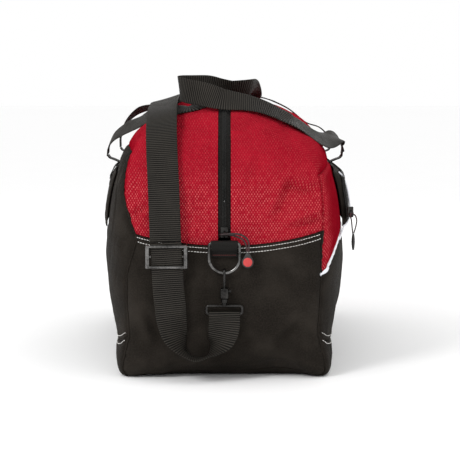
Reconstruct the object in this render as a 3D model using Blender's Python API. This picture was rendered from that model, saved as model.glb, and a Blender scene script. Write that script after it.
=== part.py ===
"""Hockey equipment bag: a soft duffel with a lengthwise zip, side pockets, carry handles and a shoulder strap.

Metres, +Z up. X runs across the bag, Y along it, and the near end faces -Y. The origin is on the floor,
under the middle of the bag. Every piece that the bag is sewn or assembled from is its own object.
"""

import math

import bmesh
import bpy
from mathutils import Matrix, Vector

NEAR, FAR = -1, 1
LEFT, RIGHT = -1, 1

# Body of the bag
HALF_LENGTH = 0.41
END_HEIGHT = 0.214  # height of the seam between an end's black panel and its red dome
FABRIC = 0.0035  # cloth with its foam and lining
SEAM_GAP = 0.0004
TUB_HEIGHT = 0.055  # how far the base cloth is turned up the sides
FLAP_EDGE = 0.345  # height of the seam between a side panel and a top flap
FLAP_HALF_LENGTH = 0.37
ZIP_HALF_GAP = 0.009
SEAM_SHARE = 0.014  # half the width of the piped seam, as a share of the section
# Where the upright seam between an end and a side runs: (height, share of the way out to the section)
SEAM_RIGHT = [(0, 0.985), (0.05, 0.9), (0.1, 0.875), (0.16, 0.855), (0.214, 0.83), (0.26, 0.84), (0.35, 0.86)]
SEAM_LEFT = [
    (0, 0.985), (0.05, 0.9), (0.1, 0.885), (0.155, 0.86), (0.2, 0.79), (0.226, 0.75), (0.25, 0.775),
    (0.29, 0.85),
    (0.35, 0.87),
]
# White piping on the right side: (distance from the middle of the bag, height)
PIPING = [(0.38, 0.17), (0.374, 0.185), (0.362, 0.203), (0.34, 0.219), (0.315, 0.2285), (0.28, 0.232),
    (0.15, 0.2325)]
# Right half of the middle section, from the bottom centre round to the top centre, as (x, z)
SECTION = [
    (0.0, 0.0), (0.07, 0.0), (0.135, 0.0), (0.159, 0.008), (0.168, 0.028), (0.173, 0.07), (0.18, 0.113),
    (0.186, 0.16), (0.19, 0.215), (0.191, 0.26), (0.187, 0.305), (0.178, 0.345), (0.162, 0.38),
    (0.137, 0.409), (0.098, 0.432), (0.05, 0.446), (0.0, 0.45),
]
BASE_SQUARENESS, SIDE_SQUARENESS, TOP_SQUARENESS = 20.0, 8.0, 4.3
# How far the full bag's long sides belly out at mid length: (height, distance)
BELLY = [(0, 0), (0.03, 0.01), (0.07, 0.02), (0.12, 0.0225), (0.18, 0.0215), (0.23, 0.014), (0.28, 0.006),
    (0.33, 0)]
BELLY_HALF_LENGTH = 0.385

# Flap and handle hinge: where the handle webbing is sewn in, just outside each flap's edge
HINGE_X, HINGE_Z = 0.2035, 0.349

# Webbing
STRAP_WIDTH, HANDLE_WIDTH, TAB_WIDTH = 0.05, 0.04, 0.043
WEBBING = 0.0018

# Ring, hook and slide buckle, given for the near end
RING_Y, RING_Z = 0.4215, 0.2215  # axis of the D-ring's straight bar; y is the distance from the middle
RING_HALF_WIDTH, RING_DROP, RING_WIRE = 0.0245, 0.048, 0.0022
HOOK_WIRE, HOOK_REACH = 0.0021, 0.005
BARREL_TOP, BARREL_BOTTOM = 0.150, 0.132
BASE_BAR_Z, BASE_SLOT, BASE_HALF_WIDTH = 0.1075, 0.013, 0.0285
GATE_BORE, GATE_PIN = 0.0021, 0.00175
BUCKLE_X, BUCKLE_Z = -0.0922, 0.2
BUCKLE_HALF_WIDTH, BUCKLE_HALF_HEIGHT, BUCKLE_WIRE = 0.0305, 0.0165, 0.0022
STRAP_Y, STRAP_LEAN = 0.4262, -0.0585  # where the strap hangs upright, and its drift in x for each metre up

# Zips
TAPE = 0.0012
SLIDER_Y, SLIDER_Z = 0.4089, 0.2375
BRIDGE_LIFT, BRIDGE_BACK = 0.0068, 0.003  # middle of a slider's bridge: above the tape, and back along the zip
POCKET_BOTTOM, POCKET_TOP, POCKET_HALF_LENGTH, POCKET_DEPTH = 0.238, 0.333, 0.3, 0.019


# ---------------------------------------------------------------- scene and materials

for old in list(bpy.data.objects):
    bpy.data.objects.remove(old)


def material(name, colour, roughness, metallic=0.0):
    made = bpy.data.materials.new(name)
    made.use_nodes = True
    shader = made.node_tree.nodes["Principled BSDF"]
    shader.inputs["Base Color"].default_value = (*colour, 1.0)
    shader.inputs["Roughness"].default_value = roughness
    shader.inputs["Metallic"].default_value = metallic
    return made


RED_CLOTH = material("red_cloth", (0.45, 0.02, 0.035), 0.75)
BLACK_CLOTH = material("black_cloth", (0.02, 0.019, 0.017), 0.8)
WEB = material("webbing", (0.03, 0.03, 0.028), 0.8)
ZIP_BLACK = material("zip_black", (0.025, 0.025, 0.025), 0.5)
WHITE_PIPING = material("white_piping", (0.8, 0.8, 0.84), 0.5)
DARK_METAL = material("dark_metal", (0.09, 0.088, 0.085), 0.28, 1.0)
PULL_RUBBER = material("pull_rubber", (0.06, 0.06, 0.065), 0.5)
BOARD = material("board", (0.05, 0.05, 0.05), 0.6)


def add(name, mesh, cloth, smooth=True):
    """Links a finished mesh or curve to the scene as one named piece."""
    made = bpy.data.objects.new(name, mesh)
    mesh.materials.append(cloth)
    bpy.context.scene.collection.objects.link(made)
    if smooth and made.type == "MESH":
        mesh.shade_smooth()
        mesh.set_sharp_from_angle(angle=math.radians(35))
    return made


def mesh_from(bm, name):
    bmesh.ops.recalc_face_normals(bm, faces=bm.faces)
    if bm.calc_volume(signed=True) < 0:
        bmesh.ops.reverse_faces(bm, faces=bm.faces)
    mesh = bpy.data.meshes.new(name)
    bm.to_mesh(mesh)
    bm.free()
    return mesh


# ---------------------------------------------------------------- smooth curves


def smooth(points, count):
    """count points on a smooth curve through the given points, a Catmull-Rom spline, evenly spread by length."""
    pts = [Vector(p) for p in points]
    ends = [2 * pts[0] - pts[1], *pts, 2 * pts[-1] - pts[-2]]
    fine, per_span = [], 24
    for i in range(len(pts) - 1):
        a, b, c, d = ends[i : i + 4]
        for k in range(per_span):
            u = k / per_span
            fine.append(
                0.5 * (2 * b + (c - a) * u + (2 * a - 5 * b + 4 * c - d) * u**2 + (3 * b - a - 3 * c + d) * u**3)
            )
    fine.append(pts[-1])
    return evenly(fine, count)


def evenly(points, count):
    """count points evenly spread along a polyline."""
    far = [0.0]
    for a, b in zip(points, points[1:]):
        far.append(far[-1] + (b - a).length)
    out, i = [], 0
    for k in range(count):
        want = far[-1] * k / (count - 1)
        while i < len(points) - 2 and far[i + 1] < want:
            i += 1
        span = far[i + 1] - far[i]
        out.append(points[i].lerp(points[i + 1], (want - far[i]) / span if span else 0.0))
    return out


def arc(centre, radius, start, end, count):
    """Points (u, v) on an arc; angles in degrees."""
    angles = [math.radians(start + (end - start) * k / (count - 1)) for k in range(count)]
    return [(centre[0] + radius * math.cos(a), centre[1] + radius * math.sin(a)) for a in angles]


# ---------------------------------------------------------------- the bag's outer surface

OUTLINE = smooth([(x, z, 0.0) for x, z in SECTION], 241)


def outline(t):
    """(x, z) on the right half of the middle section; t is 0 at the bottom centre and 1 at the top centre."""
    place = min(max(t, 0.0), 1.0) * (len(OUTLINE) - 1)
    i = min(int(place), len(OUTLINE) - 2)
    point = OUTLINE[i].lerp(OUTLINE[i + 1], place - i)
    return point.x, max(point.y, 0.0)


def t_at_height(z):
    return next(k for k, p in enumerate(OUTLINE) if p.y >= z and p.x > 0.01) / (len(OUTLINE) - 1)


def t_at_top(x):
    """The t at which the top of the section comes in to x from the middle."""
    return next(k for k, p in enumerate(OUTLINE) if p.y > 0.4 and p.x <= x) / (len(OUTLINE) - 1)


def squareness(z):
    """Exponent of the superellipse along the bag: high where the end meets the side squarely, low at the dome."""
    low = min(z / 0.1, 1.0)
    high = min(max((z - 0.2) / 0.25, 0.0), 1.0)
    blend = high * high * (3 - 2 * high)
    return BASE_SQUARENESS + (SIDE_SQUARENESS - BASE_SQUARENESS) * low + (TOP_SQUARENESS - SIDE_SQUARENESS) * blend


def belly(z, y):
    """How far a long side bellies out at height z of the section, y along the bag."""
    for (a, low), (b, high) in zip(BELLY, BELLY[1:]):
        if z <= b:
            u = max(z - a, 0.0) / (b - a)
            out = low + (high - low) * u
            return out * max(1 - (y / BELLY_HALF_LENGTH) ** 2, 0.0) ** 1.25
    return 0.0


def place(side, t, share, y):
    """A point on the surface: share is how far it lies from the end's middle towards the section's outline."""
    x, z = outline(t)
    lifted = 0.0 if z < 1e-6 else END_HEIGHT + share * (z - END_HEIGHT)
    return Vector((side * share * (x + belly(z, y)), y, lifted))


def on_side(side, t, y):
    p = squareness(outline(t)[1])
    return place(side, t, (1 - abs(y / HALF_LENGTH) ** p) ** (1 / p), y)


def on_end(end, side, t, share):
    p = squareness(outline(t)[1])
    return place(side, t, share, end * HALF_LENGTH * (1 - share**p) ** (1 / p))


def share_at(t, y):
    p = squareness(outline(t)[1])
    return (1 - abs(y / HALF_LENGTH) ** p) ** (1 / p)


def steps(a, b, count):
    return [a + (b - a) * k / (count - 1) for k in range(count)]


def between(table, value):
    """Straight-line interpolation in a list of (value, result) pairs."""
    for (a, low), (b, high) in zip(table, table[1:]):
        if value <= b:
            return low + (high - low) * max(value - a, 0.0) / (b - a)
    return table[-1][1]


def seam(side, t):
    return between(SEAM_LEFT if side == LEFT else SEAM_RIGHT, outline(t)[1])


def y_of(t, share):
    p = squareness(outline(t)[1])
    return HALF_LENGTH * (1 - share**p) ** (1 / p)


def dome(x, y):
    """Point and outward normal of the top of the bag above (x, y)."""
    side = RIGHT if x >= 0 else LEFT
    low, high = t_at_height(0.3), 1.0
    for _ in range(40):
        t = (low + high) / 2
        low, high = (t, high) if abs(on_side(side, t, y).x) > abs(x) else (low, t)
    point = on_side(side, t, y)
    along = on_side(side, t, y + 0.001) - on_side(side, t, y - 0.001)
    around = on_side(side, t + 0.004, y) - on_side(side, t - 0.004, y) if t < 0.995 else Vector((1, 0, 0))
    normal = along.cross(around).normalized()
    return point, normal if normal.z > 0 else -normal


# ---------------------------------------------------------------- ways of making a solid


def normals_of(rows):
    """Unit normals of a grid of points, all on the side that points away from the bag's inside."""
    inside = Vector((0, 0, 0.2))
    out = []
    for i, row in enumerate(rows):
        line = []
        for j in range(len(row)):
            along = rows[min(i + 1, len(rows) - 1)][j] - rows[max(i - 1, 0)][j]
            across = row[min(j + 1, len(row) - 1)] - row[max(j - 1, 0)]
            line.append(along.cross(across).normalized())
        out.append(line)
    middle_i, middle_j = len(rows) // 2, len(rows[0]) // 2
    centre = rows[middle_i][middle_j]
    away = centre - Vector((inside.x, centre.y * 0.5, inside.z))
    if out[middle_i][middle_j].dot(away) < 0:
        out = [[-n for n in line] for line in out]
    return out


def sheet(name, rows, cloth, thickness=FABRIC, raised=0.0, clear=0.0):
    """A closed sheet of even thickness, whose outer face is the grid of points, raised along its normals.

    No point of it comes nearer than clear to the middle plane of the bag.
    """
    normals = normals_of(rows)
    bm = bmesh.new()
    count_i, count_j = len(rows), len(rows[0])
    layers = []
    side = 1 if rows[count_i // 2][count_j // 2].x > 0 else -1
    for lift in (raised, raised - thickness):
        layer = [[rows[i][j] + normals[i][j] * lift for j in range(count_j)] for i in range(count_i)]
        if clear:
            layer = [[Vector((side * max(side * p.x, clear), p.y, p.z)) for p in line] for line in layer]
        layers.append([[bm.verts.new(p) for p in line] for line in layer])
    for layer in layers:
        for i in range(count_i - 1):
            for j in range(count_j - 1):
                bm.faces.new((layer[i][j], layer[i + 1][j], layer[i + 1][j + 1], layer[i][j + 1]))
    top, under = layers
    rim = [(i, 0) for i in range(count_i)] + [(count_i - 1, j) for j in range(1, count_j)]
    rim += [(i, count_j - 1) for i in range(count_i - 2, -1, -1)] + [(0, j) for j in range(count_j - 2, 0, -1)]
    for (a, b), (c, d) in zip(rim, rim[1:] + rim[:1]):
        bm.faces.new((top[a][b], top[c][d], under[c][d], under[a][b]))
    return add(name, mesh_from(bm, name), cloth)


def ribbon(name, route, cloth, width, thickness=WEBBING, step=0.02, bend=0.3):
    """Flat webbing along a route of (point, direction of its width), with a ring of corners at least every step
    and after every bend (in radians)."""
    fine = smooth([p for p, _ in route], 500)
    marks = [min(range(500), key=lambda k: (fine[k] - Vector(p)).length) for p, _ in route]
    frames = []
    for k, point in enumerate(fine):
        i = max(j for j in range(len(marks) - 1) if marks[j] <= k)
        share = min(max((k - marks[i]) / max(marks[i + 1] - marks[i], 1), 0.0), 1.0)
        wide = Vector(route[i][1]).normalized().lerp(Vector(route[i + 1][1]).normalized(), share)
        along = (fine[min(k + 1, 499)] - fine[max(k - 1, 0)]).normalized()
        frames.append((point, along, (wide - along * wide.dot(along)).normalized()))
    chosen = [0]
    for k in range(1, 499):
        point, along, wide = frames[chosen[-1]]
        turned = max(along.angle(frames[k][1]), wide.angle(frames[k][2]))
        if (frames[k][0] - point).length > step or turned > bend:
            chosen.append(k)
    chosen.append(499)
    bm = bmesh.new()
    rings = []
    for k in chosen:
        point, along, wide = frames[k]
        face = along.cross(wide)
        corners = ((1, 1), (-1, 1), (-1, -1), (1, -1))
        rings.append([bm.verts.new(point + wide * (a * width / 2) + face * (b * thickness / 2)) for a, b in corners])
    # Each flat side is split along the same diagonal, so that a twisted strip keeps its thickness
    for low, high in zip(rings, rings[1:]):
        bm.faces.new((low[0], low[1], high[1]))
        bm.faces.new((low[0], high[1], high[0]))
        bm.faces.new((low[2], low[3], high[2]))
        bm.faces.new((low[3], high[3], high[2]))
        for k in (1, 3):
            bm.faces.new((low[k], low[(k + 1) % 4], high[(k + 1) % 4], high[k]))
    bm.faces.new(rings[0])
    bm.faces.new(rings[-1])
    return add(name, mesh_from(bm, name), cloth)


def wire(name, points, radius, cloth, cyclic=False, sides=3):
    """A round wire, cord or piping along a list of points, as a curve with a round bevel."""
    curve = bpy.data.curves.new(name, "CURVE")
    curve.dimensions = "3D"
    curve.bevel_depth = radius
    curve.bevel_resolution = sides
    curve.use_fill_caps = not cyclic
    line = curve.splines.new("POLY")
    line.points.add(len(points) - 1)
    for slot, point in zip(line.points, points):
        slot.co = (*point, 1.0)
    line.use_cyclic_u = cyclic
    return add(name, curve, cloth)


def solid_wire(points, radius, sides=10, cyclic=False):
    """bmesh of a round bar along points, for pieces that a Boolean joins."""
    bm = bmesh.new()
    rings, count = [], len(points)
    up = Vector((1, 0, 0))
    for k, point in enumerate(points):
        before = points[k - 1] if cyclic or k else point
        after = points[(k + 1) % count] if cyclic or k < count - 1 else point
        along = (Vector(after) - Vector(before)).normalized()
        if abs(along.dot(up)) > 0.95:
            up = Vector((0, 1, 0))
        first = (up - along * up.dot(along)).normalized()
        second = along.cross(first)
        up = first
        turns = [2 * math.pi * j / sides for j in range(sides)]
        rings.append([bm.verts.new(Vector(point) + radius * (first * math.cos(a) + second * math.sin(a))) for a in turns])
    pairs = list(zip(rings, rings[1:])) + ([(rings[-1], rings[0])] if cyclic else [])
    for low, high in pairs:
        for j in range(sides):
            bm.faces.new((low[j], low[(j + 1) % sides], high[(j + 1) % sides], high[j]))
    if not cyclic:
        bm.faces.new(rings[0])
        bm.faces.new(rings[-1])
    return bm


def block(size, centre, bevel=0.0):
    """bmesh of a box with rounded edges."""
    bm = bmesh.new()
    bmesh.ops.create_cube(bm, size=1.0, matrix=Matrix.Translation(centre) @ Matrix.Diagonal((*size, 1.0)))
    if bevel:
        bmesh.ops.bevel(bm, geom=bm.edges[:], offset=bevel, segments=2, profile=0.5, affect="EDGES")
    return bm


def rod(a, b, radius, sides=16):
    """bmesh of a straight round rod from a to b."""
    return solid_wire([Vector(a), Vector(b)], radius, sides)


def combined(name, cloth, first, joined=(), cut=()):
    """One piece: the first shape, with the others joined to it and the cutters taken away."""
    made = add(name, mesh_from(first, name), cloth)
    helpers = []
    for operation, shapes in (("UNION", joined), ("DIFFERENCE", cut)):
        for number, shape in enumerate(shapes):
            helper = bpy.data.objects.new(f"{name}_{operation.lower()}_{number}", mesh_from(shape, name + "_helper"))
            bpy.context.scene.collection.objects.link(helper)
            tool = made.modifiers.new(operation, "BOOLEAN")
            tool.operation, tool.object = operation, helper
            helpers.append(helper)
    bpy.context.view_layer.update()
    whole = made.evaluated_get(bpy.context.evaluated_depsgraph_get())
    final = bpy.data.meshes.new_from_object(whole)
    made.modifiers.clear()
    made.data = final
    for helper in helpers:
        bpy.data.objects.remove(helper)
    final.shade_smooth()
    final.set_sharp_from_angle(angle=math.radians(35))
    return made


def set_pivot(name, point):
    """Moves an object's origin to a point without moving its shape."""
    piece, point = bpy.data.objects[name], Vector(point)
    piece.data.transform(Matrix.Translation(piece.matrix_world.translation - point))
    piece.location = point


def end_name(end):
    return "near" if end == NEAR else "far"


def side_name(side):
    return "left" if side == LEFT else "right"


# ---------------------------------------------------------------- sewn panels

T_TUB = t_at_height(TUB_HEIGHT)
T_SEAM = t_at_height(END_HEIGHT)
T_FLAP = t_at_height(FLAP_EDGE)
T_ZIP = t_at_top(ZIP_HALF_GAP)
T_STEP = 0.0008  # about half a seam gap along the outline


def side_y(side, t, u):
    """y of a point on a panel that runs from end seam to end seam; u goes from -1 to 1."""
    return u * y_of(t, min(seam(side, t) + SEAM_SHARE, 0.99))


LENGTHWISE = [-1, -0.985, -0.96, -0.915, -0.84, -0.7, -0.45, 0, 0.45, 0.7, 0.84, 0.915, 0.96, 0.985, 1]


def base_panel():
    """The black cloth base with the strips of it that turn up the sides."""
    across = [(LEFT, t) for t in steps(T_TUB - T_STEP, 0.0, 10)] + [(RIGHT, t) for t in steps(0.0, T_TUB - T_STEP, 10)[1:]]
    rows = [[on_side(side, t, side_y(side, t, u)) for side, t in across] for u in LENGTHWISE]
    sheet("base_panel", rows, BLACK_CLOTH)


def base_board():
    """Stiff board that lies loose inside on the base panel."""
    half_x, half_y, low, high = 0.128, 0.36, 0.0045, 0.0075
    bm = block((2 * half_x, 2 * half_y, high - low), (0, 0, (low + high) / 2))
    upright = [e for e in bm.edges if abs(e.verts[0].co.z - e.verts[1].co.z) > 1e-4]
    bmesh.ops.bevel(bm, geom=upright, offset=0.03, segments=4, profile=0.5, affect="EDGES")
    add("base_board", mesh_from(bm, "base_board"), BOARD)


def end_panel(end):
    """Lower black end panel, from the middle of the end out to its piped seam."""
    around = [(LEFT, t) for t in steps(T_SEAM - T_STEP, 0.0, 10)] + [(RIGHT, t) for t in steps(0.0, T_SEAM - T_STEP, 10)[1:]]
    rows = []
    for part in (0.1, 0.4, 0.7, 0.88, 1.0):
        row = []
        for side, t in around:
            share = part * (seam(side, t) - SEAM_SHARE)
            point = on_end(end, side, t, share)
            height = END_HEIGHT - share * (END_HEIGHT - outline(t)[1])
            row.append(Vector((point.x, point.y, max(height, 0.0055))))
        rows.append(row)
    sheet(f"end_panel_{end_name(end)}", rows, BLACK_CLOTH)


def piping_t(y):
    """Height of the white piping at y, as a place on the section."""
    return t_at_height(between([(0, PIPING[-1][1]), *reversed(PIPING)], abs(y)))


def side_panel_left():
    heights = steps(T_TUB + T_STEP, T_FLAP - T_STEP, 10)
    sheet("side_panel_left", [[on_side(LEFT, t, side_y(LEFT, t, u)) for t in heights] for u in LENGTHWISE], BLACK_CLOTH)


def side_panel_right(upper):
    """The right side's black lower panel or, above the white piping, its red upper panel."""
    rows = []
    for u in LENGTHWISE:
        middle = t_at_height(0.2)
        for _ in range(6):
            middle = piping_t(side_y(RIGHT, middle, u))
        low, high = (middle + 2 * T_STEP, T_FLAP - T_STEP) if upper else (T_TUB + T_STEP, middle - 2 * T_STEP)
        rows.append([on_side(RIGHT, t, side_y(RIGHT, t, u)) for t in steps(low, high, 6)])
    name, cloth = ("side_upper_right", RED_CLOTH) if upper else ("side_panel_right", BLACK_CLOTH)
    sheet(name, rows, cloth)


def upper_end(end, side):
    """Red quarter dome: the fixed part of the upper bag at one end, on one side of the zip."""
    heights = steps(T_SEAM + T_STEP, T_FLAP - 3 * T_STEP, 5) + steps(T_FLAP, T_ZIP, 6)
    rows = []
    for part in steps(0.0, 1.0, 8):
        row = []
        for t in heights:
            last = seam(side, t) + 0.5 * SEAM_SHARE if t < T_FLAP else share_at(t, FLAP_HALF_LENGTH + 2 * SEAM_GAP)
            p = squareness(outline(t)[1])
            low, high = (math.asin(share ** (p / 2)) for share in (0.1, last))
            row.append(on_end(end, side, t, math.sin(low + (high - low) * (1 - (1 - part) ** 1.3)) ** (2 / p)))
        rows.append(row)
    sheet(f"upper_end_{end_name(end)}_{side_name(side)}", rows, RED_CLOTH, clear=ZIP_HALF_GAP + SEAM_GAP)


def top_flap(side):
    """Half of the top, which folds outwards when the zip is open."""
    heights = steps(T_FLAP + T_STEP, T_ZIP, 9)
    rows = [[on_side(side, t, u * FLAP_HALF_LENGTH) for t in heights] for u in LENGTHWISE]
    sheet(f"top_flap_{side_name(side)}", rows, RED_CLOTH, clear=ZIP_HALF_GAP + SEAM_GAP)


# ---------------------------------------------------------------- main zip


def zip_strip(name, line, inner, outer):
    """A zip tape, or half of one, along a line down the middle of the surface, from x inner to x outer."""
    rows = [[point + Vector((x, 0, 0)) for x in (inner, (inner + outer) / 2, outer)] for point in line]
    sheet(name, rows, ZIP_BLACK, thickness=TAPE, raised=-0.0008)


def main_zip():
    edge = ZIP_HALF_GAP - SEAM_GAP
    for end in (NEAR, FAR):
        line = [on_end(end, RIGHT, 1.0, share) for share in (0.075, 0.2, 0.35, 0.5, 0.6, 0.7)]
        line.append(on_end(end, RIGHT, 1.0, share_at(1.0, FLAP_HALF_LENGTH + 2 * SEAM_GAP)))
        zip_strip(f"zip_tape_{end_name(end)}", line, -edge, edge)
    top = [on_side(RIGHT, 1.0, u * FLAP_HALF_LENGTH) for u in LENGTHWISE]
    for side in (LEFT, RIGHT):
        zip_strip(f"zip_tape_top_{side_name(side)}", top, side * SEAM_GAP / 2, side * edge)


def slider(name, centre, out, along):
    """Zip slider at a point: a plate with a channel under it for the coil, and a bridge that holds the pull."""
    out, along = Vector(out).normalized(), Vector(along).normalized()
    across = along.cross(out)
    turn = Matrix((across, along, out)).transposed().to_4x4()
    body = block((0.0125, 0.018, 0.0038), (0, 0, 0.0033), 0.0012)
    channel = block((0.0078, 0.03, 0.0024), (0, 0, 0.0012))
    arch = arc((-BRIDGE_BACK, BRIDGE_LIFT), 0.005, 0, 180, 9)
    feet = [(0.005 - BRIDGE_BACK, 0.004)], [(-0.005 - BRIDGE_BACK, 0.004)]
    bridge = solid_wire([Vector((0, y, z)) for y, z in feet[0] + arch + feet[1]], 0.001, 8)
    made = combined(name, DARK_METAL, body, [bridge], [channel])
    made.matrix_world = Matrix.Translation(centre) @ turn
    return made


def main_pull(end):
    """Cord loop through the slider's bridge, with a teardrop rubber tab on it, beside the ring."""
    name = end_name(end)
    tab_x, tab_z, tab_y = 0.0372, 0.1915, end * 0.4262
    bridge_y, bridge_z = SLIDER_Y + BRIDGE_LIFT, SLIDER_Z - BRIDGE_BACK
    loop = [
        (tab_x - 0.0012, 0.4262, tab_z + 0.0165), (0.0352, 0.4262, 0.2165), (0.0315, 0.4258, 0.2255),
        (0.024, 0.423, 0.2305), (0.0135, 0.418, 0.2335), (0.005, bridge_y, bridge_z),
        (-0.0032, bridge_y, bridge_z),
        (-0.0062, bridge_y + 0.0035, bridge_z + 0.0005), (-0.004, bridge_y + 0.0077, bridge_z + 0.001),
        (0.0035, bridge_y + 0.0085, bridge_z + 0.0018), (0.013, 0.4248, 0.2368), (0.026, 0.4262, 0.2356),
        (0.0362, 0.427, 0.2285), (0.0392, 0.4262, 0.218), (tab_x + 0.0012, 0.4262, tab_z + 0.0165),
    ]
    wire(f"main_pull_cord_{name}", smooth([at_end(end, p) for p in loop], 30), 0.00095, PULL_RUBBER, sides=1)
    profile = arc((tab_x, tab_z), 0.0094, 160, 380, 15) + arc((tab_x, tab_z + 0.0125), 0.0032, 30, 150, 5)
    bm = bmesh.new()
    front = [bm.verts.new((x, tab_y - 0.0017, z)) for x, z in profile]
    made = bmesh.ops.extrude_face_region(bm, geom=[bm.faces.new(front)])
    moved = [v for v in made["geom"] if isinstance(v, bmesh.types.BMVert)]
    bmesh.ops.translate(bm, vec=(0, 0.0034, 0), verts=moved)
    add(f"main_pull_tab_{name}", mesh_from(bm, name), PULL_RUBBER)


# ---------------------------------------------------------------- ring, hook and slide buckle


def at_end(end, point):
    """A point written for the near end with y as the distance from the middle, put at either end."""
    return Vector((point[0], end * point[1], point[2]))


def ring_tab(end):
    """Folded webbing sewn over the foot of the zip; its fold holds the ring."""
    around = arc((RING_Y, RING_Z), 0.0036, 195, -10, 7)
    route = [(0.4117, 0.1985), (0.4118, 0.208), (0.4135, 0.2165), *around, (0.4215, 0.211),
        (0.4158, 0.2045), (0.4149, 0.1985)]
    across = Vector((1, 0, 0))
    ribbon(
        f"ring_tab_{end_name(end)}", [(at_end(end, (0, y, z)), across) for y, z in route], WEB, TAB_WIDTH, 0.0014
    )


def ring(end):
    """D-ring: a straight bar in the tab's fold and a round bow that hangs below it."""
    corner = 0.005
    bow = [(-RING_HALF_WIDTH + corner, RING_Z), (RING_HALF_WIDTH - corner, RING_Z)]
    bow += arc((RING_HALF_WIDTH - corner, RING_Z - corner), corner, 70, 0, 4)
    radius = RING_HALF_WIDTH
    bow += arc((0, RING_Z - RING_DROP + radius), radius, 0, -180, 19)
    bow += arc((-RING_HALF_WIDTH + corner, RING_Z - corner), corner, 180, 110, 4)
    wire(f"d_ring_{end_name(end)}", [at_end(end, (x, RING_Y, z)) for x, z in bow], RING_WIRE, DARK_METAL,
        cyclic=True)


def snap_hook(end):
    """Hook that closes over the ring's bow, its sprung gate, and the swivelling base that takes the strap."""
    name = end_name(end)
    top = RING_Z - RING_DROP + 0.0008
    reach = HOOK_REACH
    shank = [(0, RING_Y - reach, BARREL_TOP - 0.004), (0, RING_Y - reach, 0.165)]
    shank += [(0, y, z) for y, z in arc((RING_Y, top), reach, 180, 0, 9)]
    shank += [(0, RING_Y + reach, top - 0.006), (0, RING_Y + reach, 0.1605)]
    wire_part = solid_wire([at_end(end, p) for p in shank], HOOK_WIRE, 10)
    middle = (BARREL_TOP + BARREL_BOTTOM) / 2
    barrel = block((0.013, 0.0172, BARREL_TOP - BARREL_BOTTOM), at_end(end, (0, RING_Y, middle)), 0.0024)
    gate_y = RING_Y + reach
    bore = rod(at_end(end, (0, gate_y, 0.1352)), at_end(end, (0, gate_y, BARREL_TOP + 0.01)), GATE_BORE)
    window = block((0.012, 0.0034, 0.0118), at_end(end, (0.006, gate_y, 0.1411)))
    socket = rod(at_end(end, (0, RING_Y - 0.001, BARREL_BOTTOM - 0.01)), at_end(end, (0, RING_Y - 0.001, 0.1385)), 0.0026)
    combined(f"snap_hook_{name}", DARK_METAL, barrel, [wire_part], [bore, window, socket])

    pin = rod(at_end(end, (0, gate_y, 0.1428)), at_end(end, (0, gate_y, 0.1598)), GATE_PIN)
    thumb = rod(at_end(end, (0, gate_y, 0.1451)), at_end(end, (0.0082, gate_y, 0.1451)), 0.0012, 10)
    knob = rod(at_end(end, (0.0078, gate_y, 0.1451)), at_end(end, (0.0108, gate_y, 0.1451)), 0.0026, 14)
    combined(f"hook_gate_{name}", DARK_METAL, pin, [thumb, knob])

    low, high, half = BASE_BAR_Z, BASE_BAR_Z + BASE_SLOT, BASE_HALF_WIDTH
    corner, base_y = 0.004, RING_Y - 0.001
    loop = arc((half - corner, high - corner), corner, 90, 0, 5) + arc((half - corner, low + corner), corner, 0, -90, 5)
    loop += arc((-half + corner, low + corner), corner, -90, -180, 5)
    loop += arc((-half + corner, high - corner), corner, 180, 90, 5)
    frame = solid_wire([at_end(end, (x, base_y, z)) for x, z in loop], 0.0022, 10, cyclic=True)
    post = rod(at_end(end, (0, base_y, high)), at_end(end, (0, base_y, 0.1378)), 0.0022, 14)
    collar = rod(at_end(end, (0, base_y, 0.1265)), at_end(end, (0, base_y, BARREL_BOTTOM - 0.0006)), 0.0055, 18)
    neck = rod(at_end(end, (0, base_y, high)), at_end(end, (0, base_y, 0.1275)), 0.0036, 14)
    combined(f"hook_base_{name}", DARK_METAL, frame, [post, collar, neck])


def slide_buckle():
    """Three-bar buckle on the strap: two bars in front of the webbing, one behind, between two side pieces."""
    front, back = STRAP_Y + 0.0037, STRAP_Y - 0.0037
    def bar(y, z):
        ends = [at_end(NEAR, (BUCKLE_X + k * BUCKLE_HALF_WIDTH, y, z)) for k in (-1, 1)]
        return rod(*ends, BUCKLE_WIRE, 10)
    bars = [bar(front, BUCKLE_Z + BUCKLE_HALF_HEIGHT), bar(front, BUCKLE_Z - BUCKLE_HALF_HEIGHT), bar(back, BUCKLE_Z)]
    size = (0.0052, front - back + 0.0036, 2 * BUCKLE_HALF_HEIGHT + 0.0048)
    cheeks = [block(size, at_end(NEAR, (BUCKLE_X + k * BUCKLE_HALF_WIDTH, (front + back) / 2, BUCKLE_Z)), 0.0018) for k in (-1, 1)]
    combined("slide_buckle", DARK_METAL, bars[0], [*cheeks, bars[1], bars[2]])


# ---------------------------------------------------------------- shoulder strap and handles

ACROSS, ALONG = Vector((1, 0, 0)), Vector((0, 1, 0))


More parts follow.
